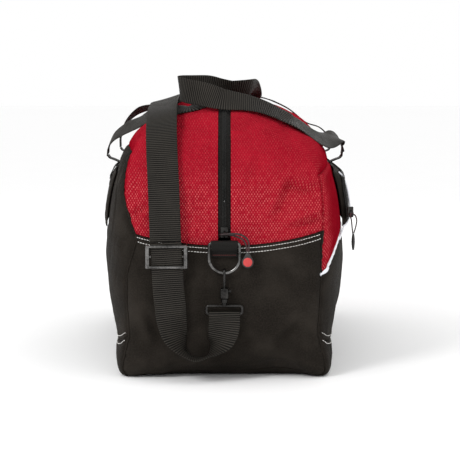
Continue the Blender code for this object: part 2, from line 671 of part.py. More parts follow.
def strap_loop(end):
    """Lower end of the strap: from the hook's base bar down, round a slack loop, and up to the ring's height."""
    base_y = RING_Y - 0.001
    eye = arc((base_y, BASE_BAR_Z), 0.0036, 180, 0, 7)
    route = [((0, base_y - 0.0036, 0.0935), ACROSS)] + [((0, y, z), ACROSS) for y, z in eye]
    route += [
        ((0, 0.4245, 0.094), ACROSS),
        ((-0.0025, 0.4285, 0.076), (1, 0.25, 0.1)),
        ((-0.009, 0.4335, 0.057), (0.75, 0.6, 0.3)),
        ((-0.026, 0.4375, 0.0415), (0.3, 1, 0.25)),
        ((-0.047, 0.4385, 0.0375), (0, 1, 0)),
        ((-0.0655, 0.4375, 0.049), (-0.4, 1, 0.2)),
        ((-0.0775, 0.4345, 0.07), (-0.85, 0.7, 0.2)),
        ((-0.0838, 0.4295, 0.0985), (-1, 0.3, 0)),
        ((-0.0868, STRAP_Y, 0.124), (-1, 0.06, 0)),
        *(((BUCKLE_X + STRAP_LEAN * (z - BUCKLE_Z), STRAP_Y, z), (-1, 0, 0)) for z in (0.144, 0.172, 0.2, 0.2225)),
    ]
    placed = [(at_end(end, p), (w[0], end * w[1], w[2])) for p, w in route]
    ribbon(f"strap_loop_{end_name(end)}", placed, WEB, STRAP_WIDTH)


RISER = [(-0.0938, STRAP_Y, 0.2275), (-0.0952, 0.4245, 0.27), (-0.0965, 0.4205, 0.305),
(-0.098, 0.4145, 0.335)]


def strap_riser(end):
    """The strap's run up the end of the bag, above the slide buckle."""
    ribbon(f"strap_riser_{end_name(end)}", [(at_end(end, p), ACROSS) for p in RISER], WEB, STRAP_WIDTH)


def shoulder_strap():
    """The strap's run over the left of the top, across the left handle."""
    rise = [
        ((-0.0982, 0.4138, 0.3375), ACROSS), ((-0.0995, 0.4065, 0.36), ACROSS),
        ((-0.1012, 0.386, 0.3945), (1, 0, 0.06)),
        ((-0.1018, 0.358, 0.4185), (1, 0, 0.14)), ((-0.102, 0.32, 0.4345), (1, 0, 0.2)),
        ((-0.102, 0.265, 0.4435), (1, 0, 0.25)),
        ((-0.102, 0.18, 0.4488), (1, 0, 0.28)), ((-0.102, 0.08, 0.4478), (1, 0, 0.3)),
    ]
    near = [(at_end(NEAR, p), w) for p, w in rise]
    far = [(at_end(FAR, p), w) for p, w in reversed(rise)]
    ribbon("shoulder_strap", near + far, WEB, STRAP_WIDTH, step=0.04)


def handle_anchor(end, side):
    """Short end of handle webbing that stands out of the seam under the flap."""
    route = [(0.1816, 0.3368), (0.1855, 0.3405), (0.193, 0.3438), (0.2, 0.3458)]
    name = f"handle_anchor_{end_name(end)}_{side_name(side)}"
    ribbon(name, [(Vector((side * x, end * 0.165, z)), ALONG) for x, z in route], WEB, HANDLE_WIDTH)


def laid(x, y, wide, lift=0.0):
    """A place on a handle that lies over the top: its width leans as given, and its lower edge rests on the bag."""
    point, normal = dome(x, y)
    wide = Vector(wide).normalized()
    rest = abs(wide.dot(normal)) * HANDLE_WIDTH / 2 + WEBBING / 2 + 0.0012
    return point + normal * (rest + lift), wide


def handle_right():
    """Right carry handle: it lies over the top, with its near part flopped to the left and folded back."""
    back = (0, -0.12, 1)
    route = [
        ((0.2035, -0.165, 0.3522), ALONG), ((0.2015, -0.1675, 0.3635), ALONG),
        ((0.1885, -0.182, 0.3785), (0, 1, 0.15)),
        laid(0.158, -0.243, (-0.2, 0.8, 0.45), 0.002), laid(0.119, -0.303, (-0.2, 0.65, 0.7), 0.001),
        laid(0.087, -0.303, (-0.08, 0.5, 0.85)), laid(0.058, -0.302, (0, 0.35, 0.95)),
        laid(0.03, -0.304, (0, 0.2, 1)),
        laid(-0.004, -0.308, (0, 0.08, 1), 0.001), ((-0.036, -0.306, 0.4595), (0, 0, 1)),
        ((-0.0605, -0.2985, 0.464), (0, -0.05, 1)),
        ((-0.0745, -0.284, 0.4665), (-0.1, -0.05, 1)), ((-0.0725, -0.268, 0.4685), (-0.15, -0.05, 1)),
        ((-0.055, -0.257, 0.4715), back), ((-0.03, -0.252, 0.4725), back),
        ((-0.008, -0.2505, 0.469), (0, -0.35, 1)),
        ((0.012, -0.25, 0.4655), (0, -0.5, 1)), ((0.032, -0.246, 0.467), (0, -0.3, 1)),
        ((0.0465, -0.236, 0.467), (0.1, -0.1, 1)),
        ((0.055, -0.215, 0.4655), (0.5, 0, 1)),
        ((0.0575, -0.175, 0.4605), (1, 0, 0.5)), laid(0.058, -0.12, (1, 0, -0.05), 0.004),
        laid(0.058, -0.03, (1, 0, -0.22)),
        laid(0.06, 0.05, (1, 0, -0.22)), laid(0.068, 0.115, (0.9, -0.6, -0.25), 0.004),
        laid(0.092, 0.152, (0.35, -1, -0.12), 0.006), ((0.127, 0.165, 0.4335), (0, -1, 0)),
        ((0.162, 0.166, 0.4115), (0, -1, 0)),
        ((0.19, 0.165, 0.3895), (0, -1, 0)), ((0.2025, 0.165, 0.3675), (0, -1, 0)),
        ((0.2035, 0.165, 0.3522), (0, -1, 0)),
    ]
    ribbon("handle_right", route, WEB, HANDLE_WIDTH, step=0.03, bend=0.38)


def handle_left():
    """Left carry handle: it stands out at the shoulder and lies over the top, under the strap."""
    route = [
        ((-0.2035, -0.165, 0.3522), ALONG), ((-0.205, -0.168, 0.3655), (0, 1, 0.1)),
        ((-0.199, -0.176, 0.3845), (0, 1, 0.35)),
        ((-0.179, -0.19, 0.398), (0, 1, 0.5)), laid(-0.147, -0.212, (0, 1, 0.4), 0.004),
        laid(-0.112, -0.248, (-0.2, 1, 0.35), 0.001),
        laid(-0.078, -0.283, (-0.35, 1, 0.2)), laid(-0.053, -0.2885, (-0.6, 1, 0.1)),
        laid(-0.036, -0.27, (-1, 0.75, 0)),
        laid(-0.0255, -0.235, (-1, 0.25, -0.05)),
        laid(-0.0232, -0.17, (-1, 0, -0.06)), laid(-0.0232, 0.0, (-1, 0, -0.06)),
        laid(-0.0232, 0.09, (-1, 0, -0.06)),
        laid(-0.028, 0.135, (-1, -0.4, -0.08)), laid(-0.05, 0.16, (-0.4, -1, -0.03)),
        laid(-0.078, 0.166, (0, -1, 0)),
        laid(-0.102, 0.166, (0, -1, 0)), ((-0.136, 0.166, 0.4325), (0, -1, 0.25)),
        ((-0.17, 0.166, 0.428), (0, -1, 0.35)),
        ((-0.196, 0.165, 0.406), (0, -1, 0.2)), ((-0.2055, 0.165, 0.376), (0, -1, 0)),
        ((-0.2035, 0.165, 0.3522), (0, -1, 0)),
    ]
    ribbon("handle_left", route, WEB, HANDLE_WIDTH, step=0.035, bend=0.38)


# ---------------------------------------------------------------- pockets and piping


def pocket_point(side, y, z):
    """A point on the pocket's outer face. Each pocket is the other one turned half round."""
    t = t_at_height(z)
    across = min(abs(y) / POCKET_HALF_LENGTH, 1.0)
    up = min(abs(z - (POCKET_BOTTOM + POCKET_TOP) / 2) / ((POCKET_TOP - POCKET_BOTTOM) / 2), 1.0)
    proud = 0.0045 + (POCKET_DEPTH - 0.0045) * (1 - across**12) ** 0.5 * (1 - up**4) ** 0.5
    base = on_side(RIGHT, t, y)
    return Vector((side * (base.x + proud), side * y, base.z))


def pocket(side):
    lengths = [-1, -0.985, -0.95, -0.86, -0.6, -0.3, 0, 0.3, 0.6, 0.86, 0.95, 0.985, 1]
    heights = [-1, -0.97, -0.88, -0.66, -0.33, 0, 0.33, 0.66, 0.88, 0.97, 1]
    middle, half = (POCKET_BOTTOM + POCKET_TOP) / 2, (POCKET_TOP - POCKET_BOTTOM) / 2
    rows = [[pocket_point(side, a * POCKET_HALF_LENGTH, middle + b * half) for b in heights] for a in lengths]
    sheet(f"pocket_{side_name(side)}", rows, BLACK_CLOTH, thickness=0.0025)


def pocket_zip(side):
    """Zip tape over the pocket's front edge and along its top."""
    line = [(-0.2925, 0.25), (-0.2925, 0.27), (-0.2915, 0.295), (-0.284, 0.313), (-0.265, 0.3215)]
    line += [(-0.2, 0.323), (-0.1, 0.3235), (0.0, 0.3235), (0.1, 0.3235), (0.2, 0.323), (0.265, 0.3215)]
    route = []
    for y, z in line:
        point = pocket_point(side, y, z)
        ahead = pocket_point(side, y + 0.002, z) - pocket_point(side, y - 0.002, z)
        above = pocket_point(side, y, z + 0.002) - pocket_point(side, y, z - 0.002)
        out = ahead.cross(above).normalized()
        if out.x * side < 0:
            out.negate()
        corner = min(max((z - 0.29) / 0.03, 0.0), 1.0)
        wide = ahead.normalized().lerp(-above.normalized(), corner) if y < 0 else -above.normalized()
        route.append((point + out * 0.0022, wide))
    ribbon(f"pocket_zip_{side_name(side)}", route, ZIP_BLACK, 0.012, TAPE, step=0.06, bend=0.25)


def pocket_slider_place(side):
    """Middle of the slider's bridge, the slider's own place on the tape, and the way it faces."""
    out = Vector((side * 0.55, -side * 0.83, 0)).normalized()
    centre = Vector((side * (0.2044 + belly(0.262, 0.2994)), -side * 0.2994, 0.262))
    return centre + out * BRIDGE_LIFT + Vector((0, 0, -BRIDGE_BACK)), centre, out


def pocket_slider(side):
    """Slider at the foot of the pocket's front edge, with a cord and a moulded grip hanging from it."""
    name = side_name(side)
    hang, centre, out = pocket_slider_place(side)
    slider(f"pocket_slider_{name}", centre, out, (0, 0, 1))

    def local(a, b, dz):
        """A point at a along the outward direction and b sideways from the slider's bridge."""
        aside = Vector((out.y, -out.x, 0))
        return hang + out * a - aside * b + Vector((0, 0, dz))

    loop = [
        local(0.0053, -0.0012, -0.0315), local(0.0066, -0.0035, -0.022), local(0.007, -0.0052, -0.011),
        local(0.0042, -0.0052, -0.0032), local(0.0, -0.003, 0), local(0, 0.0, 0), local(0, 0.003, 0),
        local(0.0042, 0.0052, -0.0032), local(0.0078, 0.0052, -0.011), local(0.007, 0.0035, -0.022),
        local(0.0053, 0.0012, -0.0315),
    ]
    wire(f"pocket_pull_cord_{name}", smooth(loop, 26), 0.0009, PULL_RUBBER, sides=1)
    low, high = local(0.0053, 0, -0.0595), local(0.0053, 0, -0.0322)
    grip = block((0.0042, 0.0078, high.z - low.z), (low + high) / 2, 0.0016)
    add(f"pocket_pull_grip_{name}", mesh_from(grip, name), PULL_RUBBER)


def end_piping(end, side):
    """Piping down the seam between an end panel and a side."""
    heights = steps(t_at_height(0.05), t_at_height(0.21), 12)
    wire(f"end_piping_{end_name(end)}_{side_name(side)}", [on_end(end, side, t, seam(side, t)) for t in heights],
         0.0016, BLACK_CLOTH, sides=2)


def reflective_piping():
    """White piping that sweeps up the right side from each end and runs under the pocket."""
    route = [(-y, z) for y, z in PIPING] + [(0.0, PIPING[-1][1])] + [(y, z) for y, z in reversed(PIPING)]
    line = []
    for y, z in route:
        t = t_at_height(z)
        ahead = on_side(RIGHT, t, y + 0.002) - on_side(RIGHT, t, y - 0.002)
        above = on_side(RIGHT, t + 0.005, y) - on_side(RIGHT, t - 0.005, y)
        line.append(on_side(RIGHT, t, y) + ahead.cross(above).normalized() * 0.0024)
    fine = smooth(line, 120)
    chosen = [p for k, p in enumerate(fine) if abs(p.y) > 0.27 or k % 12 == 0]
    wire("reflective_piping", chosen, 0.0018, WHITE_PIPING, sides=1)


# ---------------------------------------------------------------- assembly

base_panel()
base_board()
main_zip()
shoulder_strap()
handle_left()
handle_right()
slide_buckle()
reflective_piping()
for end in (NEAR, FAR):
    end_panel(end)
    ring_tab(end)
    ring(end)
    snap_hook(end)
    strap_loop(end)
    strap_riser(end)
    slider(f"main_slider_{end_name(end)}", (0, end * SLIDER_Y, SLIDER_Z), (0, end, 0.02), (0, -end * 0.02, 1))
    main_pull(end)
    for side in (LEFT, RIGHT):
        upper_end(end, side)
        handle_anchor(end, side)
        end_piping(end, side)
side_panel_left()
side_panel_right(upper=False)
side_panel_right(upper=True)
for side in (LEFT, RIGHT):
    top_flap(side)
    pocket(side)
    pocket_zip(side)
    pocket_slider(side)

# Each moving piece has its origin on the axis that it turns about, or where it starts on the line that it slides on
bpy.context.view_layer.update()
for end in (NEAR, FAR):
    name = end_name(end)
    for piece in ("d_ring", "snap_hook", "hook_base", "strap_loop"):
        set_pivot(f"{piece}_{name}", (0, end * RING_Y, RING_Z))
    set_pivot(f"hook_gate_{name}", (0, end * (RING_Y + HOOK_REACH), 0.1428))
    for piece in ("main_pull_cord", "main_pull_tab"):
        set_pivot(f"{piece}_{name}", (0, end * (SLIDER_Y + BRIDGE_LIFT), SLIDER_Z - BRIDGE_BACK))
for side in (LEFT, RIGHT):
    name = side_name(side)
    for piece in ("top_flap", "zip_tape_top", "handle"):
        set_pivot(f"{piece}_{name}", (side * HINGE_X, 0, HINGE_Z))
    for piece in ("pocket_pull_cord", "pocket_pull_grip"):
        set_pivot(f"{piece}_{name}", pocket_slider_place(side)[0])
set_pivot("shoulder_strap", (-HINGE_X, 0, HINGE_Z))
set_pivot("slide_buckle", (BUCKLE_X, -STRAP_Y, BUCKLE_Z))
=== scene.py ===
"""Looks of a hockey equipment bag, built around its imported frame.

Metres, +Z up. X runs across the bag, Y along it, and the near end faces -Y. The surface functions are those
of the CAD part; the cloth here is laid on the same surface, with its seams, sag and wrinkles.
"""

import math

import bmesh
import bpy
import numpy as np
from mathutils import Matrix, Vector, kdtree, noise


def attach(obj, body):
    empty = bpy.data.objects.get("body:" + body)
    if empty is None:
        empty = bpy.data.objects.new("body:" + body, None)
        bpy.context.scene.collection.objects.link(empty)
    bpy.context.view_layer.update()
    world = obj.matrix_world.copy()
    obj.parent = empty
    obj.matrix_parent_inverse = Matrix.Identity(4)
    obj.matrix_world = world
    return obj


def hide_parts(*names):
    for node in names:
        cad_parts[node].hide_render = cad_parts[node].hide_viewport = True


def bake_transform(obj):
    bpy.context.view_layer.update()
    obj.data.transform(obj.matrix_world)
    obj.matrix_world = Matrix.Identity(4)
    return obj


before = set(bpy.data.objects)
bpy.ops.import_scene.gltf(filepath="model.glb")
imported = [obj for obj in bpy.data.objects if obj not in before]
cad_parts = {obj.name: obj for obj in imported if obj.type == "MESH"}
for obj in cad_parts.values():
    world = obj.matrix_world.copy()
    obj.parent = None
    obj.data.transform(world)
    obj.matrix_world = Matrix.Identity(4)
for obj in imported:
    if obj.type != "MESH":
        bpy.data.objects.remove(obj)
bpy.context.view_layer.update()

NEAR, FAR = -1, 1
LEFT, RIGHT = -1, 1
ENDS, SIDES = (NEAR, FAR), (LEFT, RIGHT)
END_NAME = {NEAR: "near", FAR: "far"}
SIDE_NAME = {LEFT: "left", RIGHT: "right"}

# The bag's body, as in the CAD part
HALF_LENGTH = 0.41
END_HEIGHT = 0.214
TUB_HEIGHT, FLAP_EDGE, FLAP_HALF_LENGTH = 0.055, 0.345, 0.37
SEAM_RIGHT = [(0, 0.985), (0.05, 0.9), (0.1, 0.875), (0.16, 0.855), (0.214, 0.83), (0.26, 0.84), (0.35, 0.86)]
SEAM_LEFT = [
    (0, 0.985), (0.05, 0.9), (0.1, 0.885), (0.155, 0.86), (0.2, 0.785), (0.23, 0.738), (0.25, 0.765),
    (0.28, 0.83), (0.31, 0.88), (0.345, 0.915), (0.374, 0.938),
]
PIPING = [
    (0.396, 0.158), (0.3855, 0.17), (0.374, 0.187), (0.362, 0.203), (0.34, 0.219), (0.315, 0.2285),
    (0.28, 0.232), (0.15, 0.2325),
]
SECTION = [
    (0.0, 0.0), (0.07, 0.0), (0.135, 0.0), (0.159, 0.008), (0.168, 0.028), (0.173, 0.07), (0.18, 0.113),
    (0.186, 0.16), (0.19, 0.215), (0.191, 0.26), (0.187, 0.305), (0.178, 0.345), (0.162, 0.38),
    (0.137, 0.409), (0.098, 0.432), (0.05, 0.446), (0.0, 0.45),
]
BASE_SQUARENESS, SIDE_SQUARENESS, TOP_SQUARENESS = 20.0, 8.0, 4.3
BELLY = np.array([
    (0, 0), (0.03, 0.01), (0.07, 0.02), (0.12, 0.0225), (0.18, 0.0215), (0.23, 0.014), (0.28, 0.006),
    (0.33, 0),
])
BELLY_HALF_LENGTH = 0.385
STRAP_WIDTH, HANDLE_WIDTH, TAB_WIDTH, WEBBING = 0.05, 0.04, 0.043, 0.0019
RING_Y, RING_Z, RING_DEPTH = 0.4215, 0.2215, 0.048
EYE_Y, EYE_Z = RING_Y - 0.001, 0.1075  # lower bar of the eye that the strap's tail goes through
SLIDER_Y, SLIDER_Z = 0.4089, 0.2375
BRIDGE_LIFT, BRIDGE_BACK = 0.0068, 0.003
BUCKLE_X, BUCKLE_Z = -0.0922, 0.2
STRAP_Y, STRAP_LEAN = 0.4262, -0.0585
POCKET_BOTTOM, POCKET_TOP, POCKET_HALF_LENGTH, POCKET_DEPTH = 0.238, 0.333, 0.3, 0.019

CLOTH = 0.0018
# Kept clear beside the upright seams, the level ones and the seam below the red dome
SEAM_GAP, EDGE_GAP, BAND_GAP = 0.0008, 0.0006, 0.0005
STITCH = (0.0047, 0.0036)  # pitch and length of the white stitches
HANDLE_Y = 0.165  # where the handles' feet are sewn in
ZIP_EDGE = 0.0103  # the folded edge of the red cloth, from the middle of the main zip


# ---------------------------------------------------------------- camera, light and floor


def look_from(position, target):
    return (Vector(target) - Vector(position)).to_track_quat("-Z", "Y").to_euler()


def studio():
    data = bpy.data.cameras.new("camera")
    data.lens, data.sensor_width, data.clip_end = 127.7, 36.0, 50.0
    camera = bpy.data.objects.new("camera", data)
    camera.location = (0.009, -3.01, 0.477)
    camera.rotation_euler = look_from(camera.location, (0.009, -0.41, 0.2416))
    bpy.context.scene.collection.objects.link(camera)
    bpy.context.scene.camera = camera

    def area(name, position, target, size, power):
        light = bpy.data.lights.new(name, "AREA")
        light.shape, light.size, light.energy = "SQUARE", size, power
        made = bpy.data.objects.new(name, light)
        made.location, made.rotation_euler = position, look_from(position, target)
        bpy.context.scene.collection.objects.link(made)

    area("key", (-1.5, -2.2, 1.9), (0, -0.2, 0.25), 0.8, 34)
    area("fill", (2.2, -2.2, 0.9), (0, -0.2, 0.2), 1.4, 6)
    area("back", (0.8, 2.8, 1.6), (0, 0.2, 0.2), 1.2, 12)

    world = bpy.data.worlds.new("world")
    world.use_nodes = True
    world.node_tree.nodes["Background"].inputs["Color"].default_value = (1, 1, 1, 1)
    world.node_tree.nodes["Background"].inputs["Strength"].default_value = 1.0
    bpy.context.scene.world = world
    bpy.context.scene.view_settings.view_transform = "Standard"

    bm = bmesh.new()
    bmesh.ops.create_grid(bm, x_segments=2, y_segments=2, size=30.0)
    mesh = bpy.data.meshes.new("floor")
    bm.to_mesh(mesh)
    bm.free()
    floor = bpy.data.objects.new("floor", mesh)
    bpy.context.scene.collection.objects.link(floor)
    paint = Shade("floor_white", (0.98, 0.98, 0.98), 0.9)
    grain = paint.noise(paint.place("Object"), 3.0, 2)
    paint.colour(paint.mix(grain, (0.97, 0.97, 0.97), (0.99, 0.99, 0.99)))
    mesh.materials.append(paint.made)


# ---------------------------------------------------------------- materials


class Shade:
    """A procedural material; each method adds nodes and returns the socket that holds the result."""

    def __init__(self, name, colour, roughness, metallic=0.0, sheen=0.0, specular=0.5):
        self.made = bpy.data.materials.new("look_" + name)
        self.made.use_nodes = True
        self.nodes, self.links = self.made.node_tree.nodes, self.made.node_tree.links
        self.shader = self.nodes["Principled BSDF"]
        for socket, value in (
            ("Base Color", (*colour, 1.0)), ("Roughness", roughness), ("Metallic", metallic),
            ("Sheen Weight", sheen), ("Sheen Roughness", 0.45), ("Specular IOR Level", specular),
        ):
            self.shader.inputs[socket].default_value = value

    def put(self, kind, inputs, output=0, **settings):
        node = self.nodes.new(kind)
        for key, value in settings.items():
            setattr(node, key, value)
        for key, value in inputs.items():
            if isinstance(value, bpy.types.NodeSocket):
                self.links.new(value, node.inputs[key])
            else:
                node.inputs[key].default_value = value
        return node.outputs[output]

    def place(self, kind="UV"):
        return self.put("ShaderNodeTexCoord", {}, kind)

    def axes(self):
        return self.axes_of("UV")[:2]

    def axes_of(self, kind):
        return list(self.put("ShaderNodeSeparateXYZ", {0: self.place(kind)}).node.outputs)

    def maths(self, operation, a, b=0.0):
        return self.put("ShaderNodeMath", {0: a, 1: b}, operation=operation)

    def add(self, a, b):
        return self.maths("ADD", a, b)

    def times(self, a, b):
        return self.maths("MULTIPLY", a, b)

    def noise(self, where, scale, detail=3.0):
        inputs = {"Vector": where, "Scale": scale, "Detail": detail, "Roughness": 0.55}
        return self.put("ShaderNodeTexNoise", inputs)

    def wave(self, along, pitch):
        """Cosine along one axis, from -1 to 1."""
        return self.maths("COSINE", self.times(along, 2 * math.pi / pitch))

    def ramp(self, value, low, high):
        """0 below low and 1 above high, smooth between."""
        inputs = {"Value": value, "From Min": low, "From Max": high}
        return self.put("ShaderNodeMapRange", inputs, interpolation_type="SMOOTHSTEP")

    def mix(self, share, a, b):
        node = self.nodes.new("ShaderNodeMix")
        node.data_type = "RGBA"
        for index, value in ((0, share), (6, a), (7, b)):
            if isinstance(value, bpy.types.NodeSocket):
                self.links.new(value, node.inputs[index])
            else:
                node.inputs[index].default_value = (*value, 1.0) if isinstance(value, tuple) else value
        return node.outputs[2]

    def colour(self, socket):
        self.links.new(socket, self.shader.inputs["Base Color"])

    def roughness(self, socket, low, high):
        spread = self.put("ShaderNodeMapRange", {"Value": socket, "To Min": low, "To Max": high})
        self.links.new(spread, self.shader.inputs["Roughness"])

    def bump(self, height, distance):
        bump = self.put("ShaderNodeBump", {"Height": height, "Distance": distance, "Strength": 1.0})
        self.links.new(bump, self.shader.inputs["Normal"])


def woven(name, dark, light, pitch, flecks=None, depth=0.00025, mottle=0.5, specular=0.2):
    """Plain-woven cloth: threads, slubs, soft variation, and perhaps a lattice of raised flecks with painted
    highlight and shade.
    """
    shade = Shade(name, dark, 0.7, specular=specular)
    u, v = shade.axes()
    weave = shade.times(shade.wave(u, pitch), shade.wave(v, pitch))
    slubs = shade.noise(shade.place(), 420.0, 2)
    cloudy = shade.noise(shade.place(), 16.0, 3)
    height = shade.add(shade.times(weave, 0.5), shade.times(slubs, 0.8))
    tone = shade.add(shade.times(slubs, 0.9), shade.times(weave, 0.12))
    colour = shade.mix(shade.ramp(tone, 0.2, 0.85), dark, light)
    if flecks:
        across, along, bright, shaded = flecks
        lattice = shade.times(shade.wave(u, across), shade.wave(v, along))
        # painted highlight and shade: the flecks are the cloth's own pattern, painted brighter on the front and
        # fainter where the cloth leans back at the top, as less light catches them there
        painted_top_shade = shade.ramp(shade.axes_of("Object")[2], 0.29, 0.36)
        fleck_light_share = shade.maths("SUBTRACT", 1.0, shade.times(painted_top_shade, 0.75))
        fleck = shade.times(shade.ramp(lattice, 0.04, 0.62), fleck_light_share)
        ragged = shade.times(fleck, shade.ramp(shade.noise(shade.place(), 150.0, 2), 0.25, 0.7))
        colour = shade.mix(ragged, colour, bright)
        # painted shade: cloth that faces the long sides is painted darker and without flecks, as it lies in
        # shade
        facing = shade.put("ShaderNodeSeparateXYZ", {0: shade.put("ShaderNodeNewGeometry", {}, "Normal")})
        aside = shade.ramp(shade.maths("ABSOLUTE", facing), 0.7, 0.93)
        colour = shade.mix(shade.times(aside, 0.9), colour, shaded)
        height = shade.add(height, shade.times(lattice, 1.1))
    worn = shade.times(shade.ramp(cloudy, 0.35, 0.75), mottle)
    shade.colour(shade.mix(worn, colour, tuple(min(1.0, 1.35 * c + 0.004) for c in light)))
    shade.roughness(cloudy, 0.6, 0.8)
    shade.bump(height, depth)
    return shade.made


def webbing_look():
    shade = Shade("webbing", (0.02, 0.018, 0.015), 0.5, specular=0.1)
    u, v = shade.axes()
    waver = shade.times(shade.noise(shade.place(), 60.0, 2), 0.0007)
    rib = shade.wave(shade.add(v, waver), 0.0033)
    column = shade.wave(u, 0.0021)
    thread = shade.noise(shade.place(), 700.0, 2)
    # painted highlight and shade: the ribs are real, and their tops are painted lighter and their grooves near
    # black, as light falls across them
    tone = shade.add(shade.times(rib, 0.78), shade.times(thread, 0.5))
    worn = shade.ramp(shade.noise(shade.place(), 22.0, 3), 0.35, 0.75)
    base = shade.mix(shade.ramp(tone, -0.15, 1.0), (0.0008, 0.0007, 0.0006), (0.041, 0.0365, 0.0305))
    shade.colour(shade.mix(shade.times(worn, 0.22), base, (0.05, 0.0455, 0.038)))
    height = shade.add(shade.times(rib, 0.6), shade.times(column, 0.22))
    shade.bump(shade.add(height, shade.times(thread, 0.4)), 0.0006)
    shade.roughness(worn, 0.5, 0.68)
    return shade.made


def tape_look():
    shade = Shade("zip_tape", (0.012, 0.011, 0.01), 0.6, specular=0.15)
    u, v = shade.axes()
    herring = shade.times(shade.wave(shade.add(u, v), 0.0016), shade.wave(u, 0.0011))
    thread = shade.noise(shade.place(), 600.0, 2)
    tone = shade.ramp(shade.add(herring, thread), -0.2, 1.4)
    shade.colour(shade.mix(tone, (0.005, 0.0046, 0.004), (0.019, 0.0175, 0.0155)))
    shade.bump(shade.add(herring, thread), 0.00025)
    shade.roughness(thread, 0.5, 0.7)
    return shade.made


def moulded(name, dark, light, roughness, scale, depth, metallic=0.0, sheen=0.0, specular=0.5):
    """Plastic, rubber, thread or metal: a fine grain, broad variation and rubbed patches."""
    shade = Shade(name, dark, roughness[0], metallic=metallic, sheen=sheen, specular=specular)
    where = shade.place("Object")
    grain, cloudy = shade.noise(where, scale, 3), shade.noise(where, 28.0, 3)
    rubbed = shade.ramp(shade.add(shade.times(grain, 0.5), cloudy), 0.55, 1.0)
    shade.colour(shade.mix(rubbed, dark, light))
    shade.roughness(cloudy, *roughness)
    shade.bump(grain, depth)
    return shade.made


def make_looks():
    looks = {
        "red": woven(
            # flecks: pitch across, pitch along, fleck colour, and the painted shade colour of cloth facing the
            # long sides
            "red_dobby", (0.285, 0.0055, 0.016), (0.42, 0.0105, 0.025), 0.0011,
            (0.0046, 0.0072, (0.68, 0.125, 0.125), (0.24, 0.0015, 0.009)), 0.00045, 0.25, 0.0,
        ),
        "black": woven(
            "black_oxford", (0.0095, 0.0078, 0.0062), (0.027, 0.0222, 0.0178), 0.0012, None, 0.0004, 0.5, 0.05
        ),
        "lining": woven("lining", (0.012, 0.012, 0.012), (0.03, 0.03, 0.03), 0.0009, mottle=0.2),
        "web": webbing_look(),
        "tape": tape_look(),
    }
    # look, material, dark, light, roughness, grain, depth, other settings
    for look, name, dark, light, roughness, scale, depth, other in (
        ("coil", "zip_coil", (0.004, 0.0038, 0.0034), (0.014, 0.0132, 0.012), (0.3, 0.45), 500, 4e-5,
         {"specular": 0.22}),
        ("piping", "reflective_white", (0.74, 0.75, 0.8), (0.92, 0.92, 0.95), (0.35, 0.55), 900, 1e-4,
         {"sheen": 0.1}),
        ("thread", "white_thread", (0.62, 0.6, 0.57), (0.86, 0.85, 0.82), (0.6, 0.8), 900, 1e-4,
         {"sheen": 0.2}),
        ("red_thread", "red_thread", (0.09, 0.01, 0.009), (0.15, 0.018, 0.016), (0.6, 0.8), 900, 1e-4, {}),
        ("cord", "cord_dark_red", (0.005, 0.003, 0.003), (0.05, 0.006, 0.008), (0.5, 0.7), 700, 1.2e-4, {}),
        ("metal", "gunmetal", (0.012, 0.0115, 0.011), (0.05, 0.048, 0.046), (0.2, 0.34), 320, 3e-5,
         {"metallic": 1.0}),
        ("bright", "nickel_grey", (0.04, 0.039, 0.037), (0.2, 0.195, 0.19), (0.16, 0.26), 320, 3e-5,
         {"metallic": 1.0}),
        ("rubber", "pull_rubber", (0.012, 0.0115, 0.011), (0.035, 0.034, 0.033), (0.4, 0.55), 600, 8e-5, {}),
        ("dot", "pull_red", (0.46, 0.03, 0.03), (0.6, 0.05, 0.045), (0.4, 0.55), 500, 8e-5, {}),
        ("board", "board_grain", (0.03, 0.03, 0.031), (0.06, 0.06, 0.06), (0.5, 0.7), 180, 2e-4, {}),
    ):
        looks[look] = moulded(name, dark, light, roughness, scale, depth, **other)
    return looks


# ---------------------------------------------------------------- curves


def smooth(points, count):
    """count points on a Catmull-Rom curve through the given points, evenly spread by length."""
    pts = [Vector(p) for p in points]
    ends = [2 * pts[0] - pts[1], *pts, 2 * pts[-1] - pts[-2]]
    fine, per_span = [], 24
    for i in range(len(pts) - 1):
        a, b, c, d = ends[i : i + 4]
        for k in range(per_span):
            u = k / per_span
            square, cube = 2 * a - 5 * b + 4 * c - d, 3 * b - a - 3 * c + d
            fine.append(0.5 * (2 * b + (c - a) * u + square * u**2 + cube * u**3))
    fine.append(pts[-1])
    return evenly(fine, count)


def run_of(points):
    """Length along an array of points, from the first one to each."""
    return np.concatenate([[0.0], np.cumsum(np.linalg.norm(np.diff(points, axis=0), axis=1))])


def at_length(want, far, table):
    """The table's rows at the wanted lengths, where far holds the length at each row."""
    return np.stack([np.interp(want, far, table[:, k]) for k in range(table.shape[1])], axis=-1)


def evenly(points, count):
    pts = np.array([tuple(p) for p in points])
    far = run_of(pts)
    return [Vector(p) for p in at_length(np.linspace(0, far[-1], count), far, pts)]


def turns(count):
    return [2 * math.pi * k / count for k in range(count)]


def arc(centre, radius, start, end, count):
    angles = [math.radians(start + (end - start) * k / (count - 1)) for k in range(count)]
    return [(centre[0] + radius * math.cos(a), centre[1] + radius * math.sin(a)) for a in angles]


def at_end(end, point):
    return Vector((point[0], end * point[1], point[2]))


def bell(distance, width):
    return np.exp(-((distance / width) ** 2))


# ---------------------------------------------------------------- the bag's surface

OUTLINE = np.array([(p.x, max(p.y, 0.0)) for p in smooth([(x, z, 0.0) for x, z in SECTION], 241)])
PLACES = np.linspace(0.0, 1.0, len(OUTLINE))
ANGLES = np.arctan2(OUTLINE[:, 1] - END_HEIGHT, OUTLINE[:, 0])
RADII = np.hypot(OUTLINE[:, 0], OUTLINE[:, 1] - END_HEIGHT)


def outline(t):
    return np.interp(t, PLACES, OUTLINE[:, 0]), np.interp(t, PLACES, OUTLINE[:, 1])


def t_at_height(z):
    start = np.searchsorted(OUTLINE[:, 1], 1e-5) - 1
    return np.interp(z, OUTLINE[start:, 1], PLACES[start:])


def t_at_top(x):
    start = len(OUTLINE) // 2
    return np.interp(-x, -OUTLINE[start:, 0], PLACES[start:])


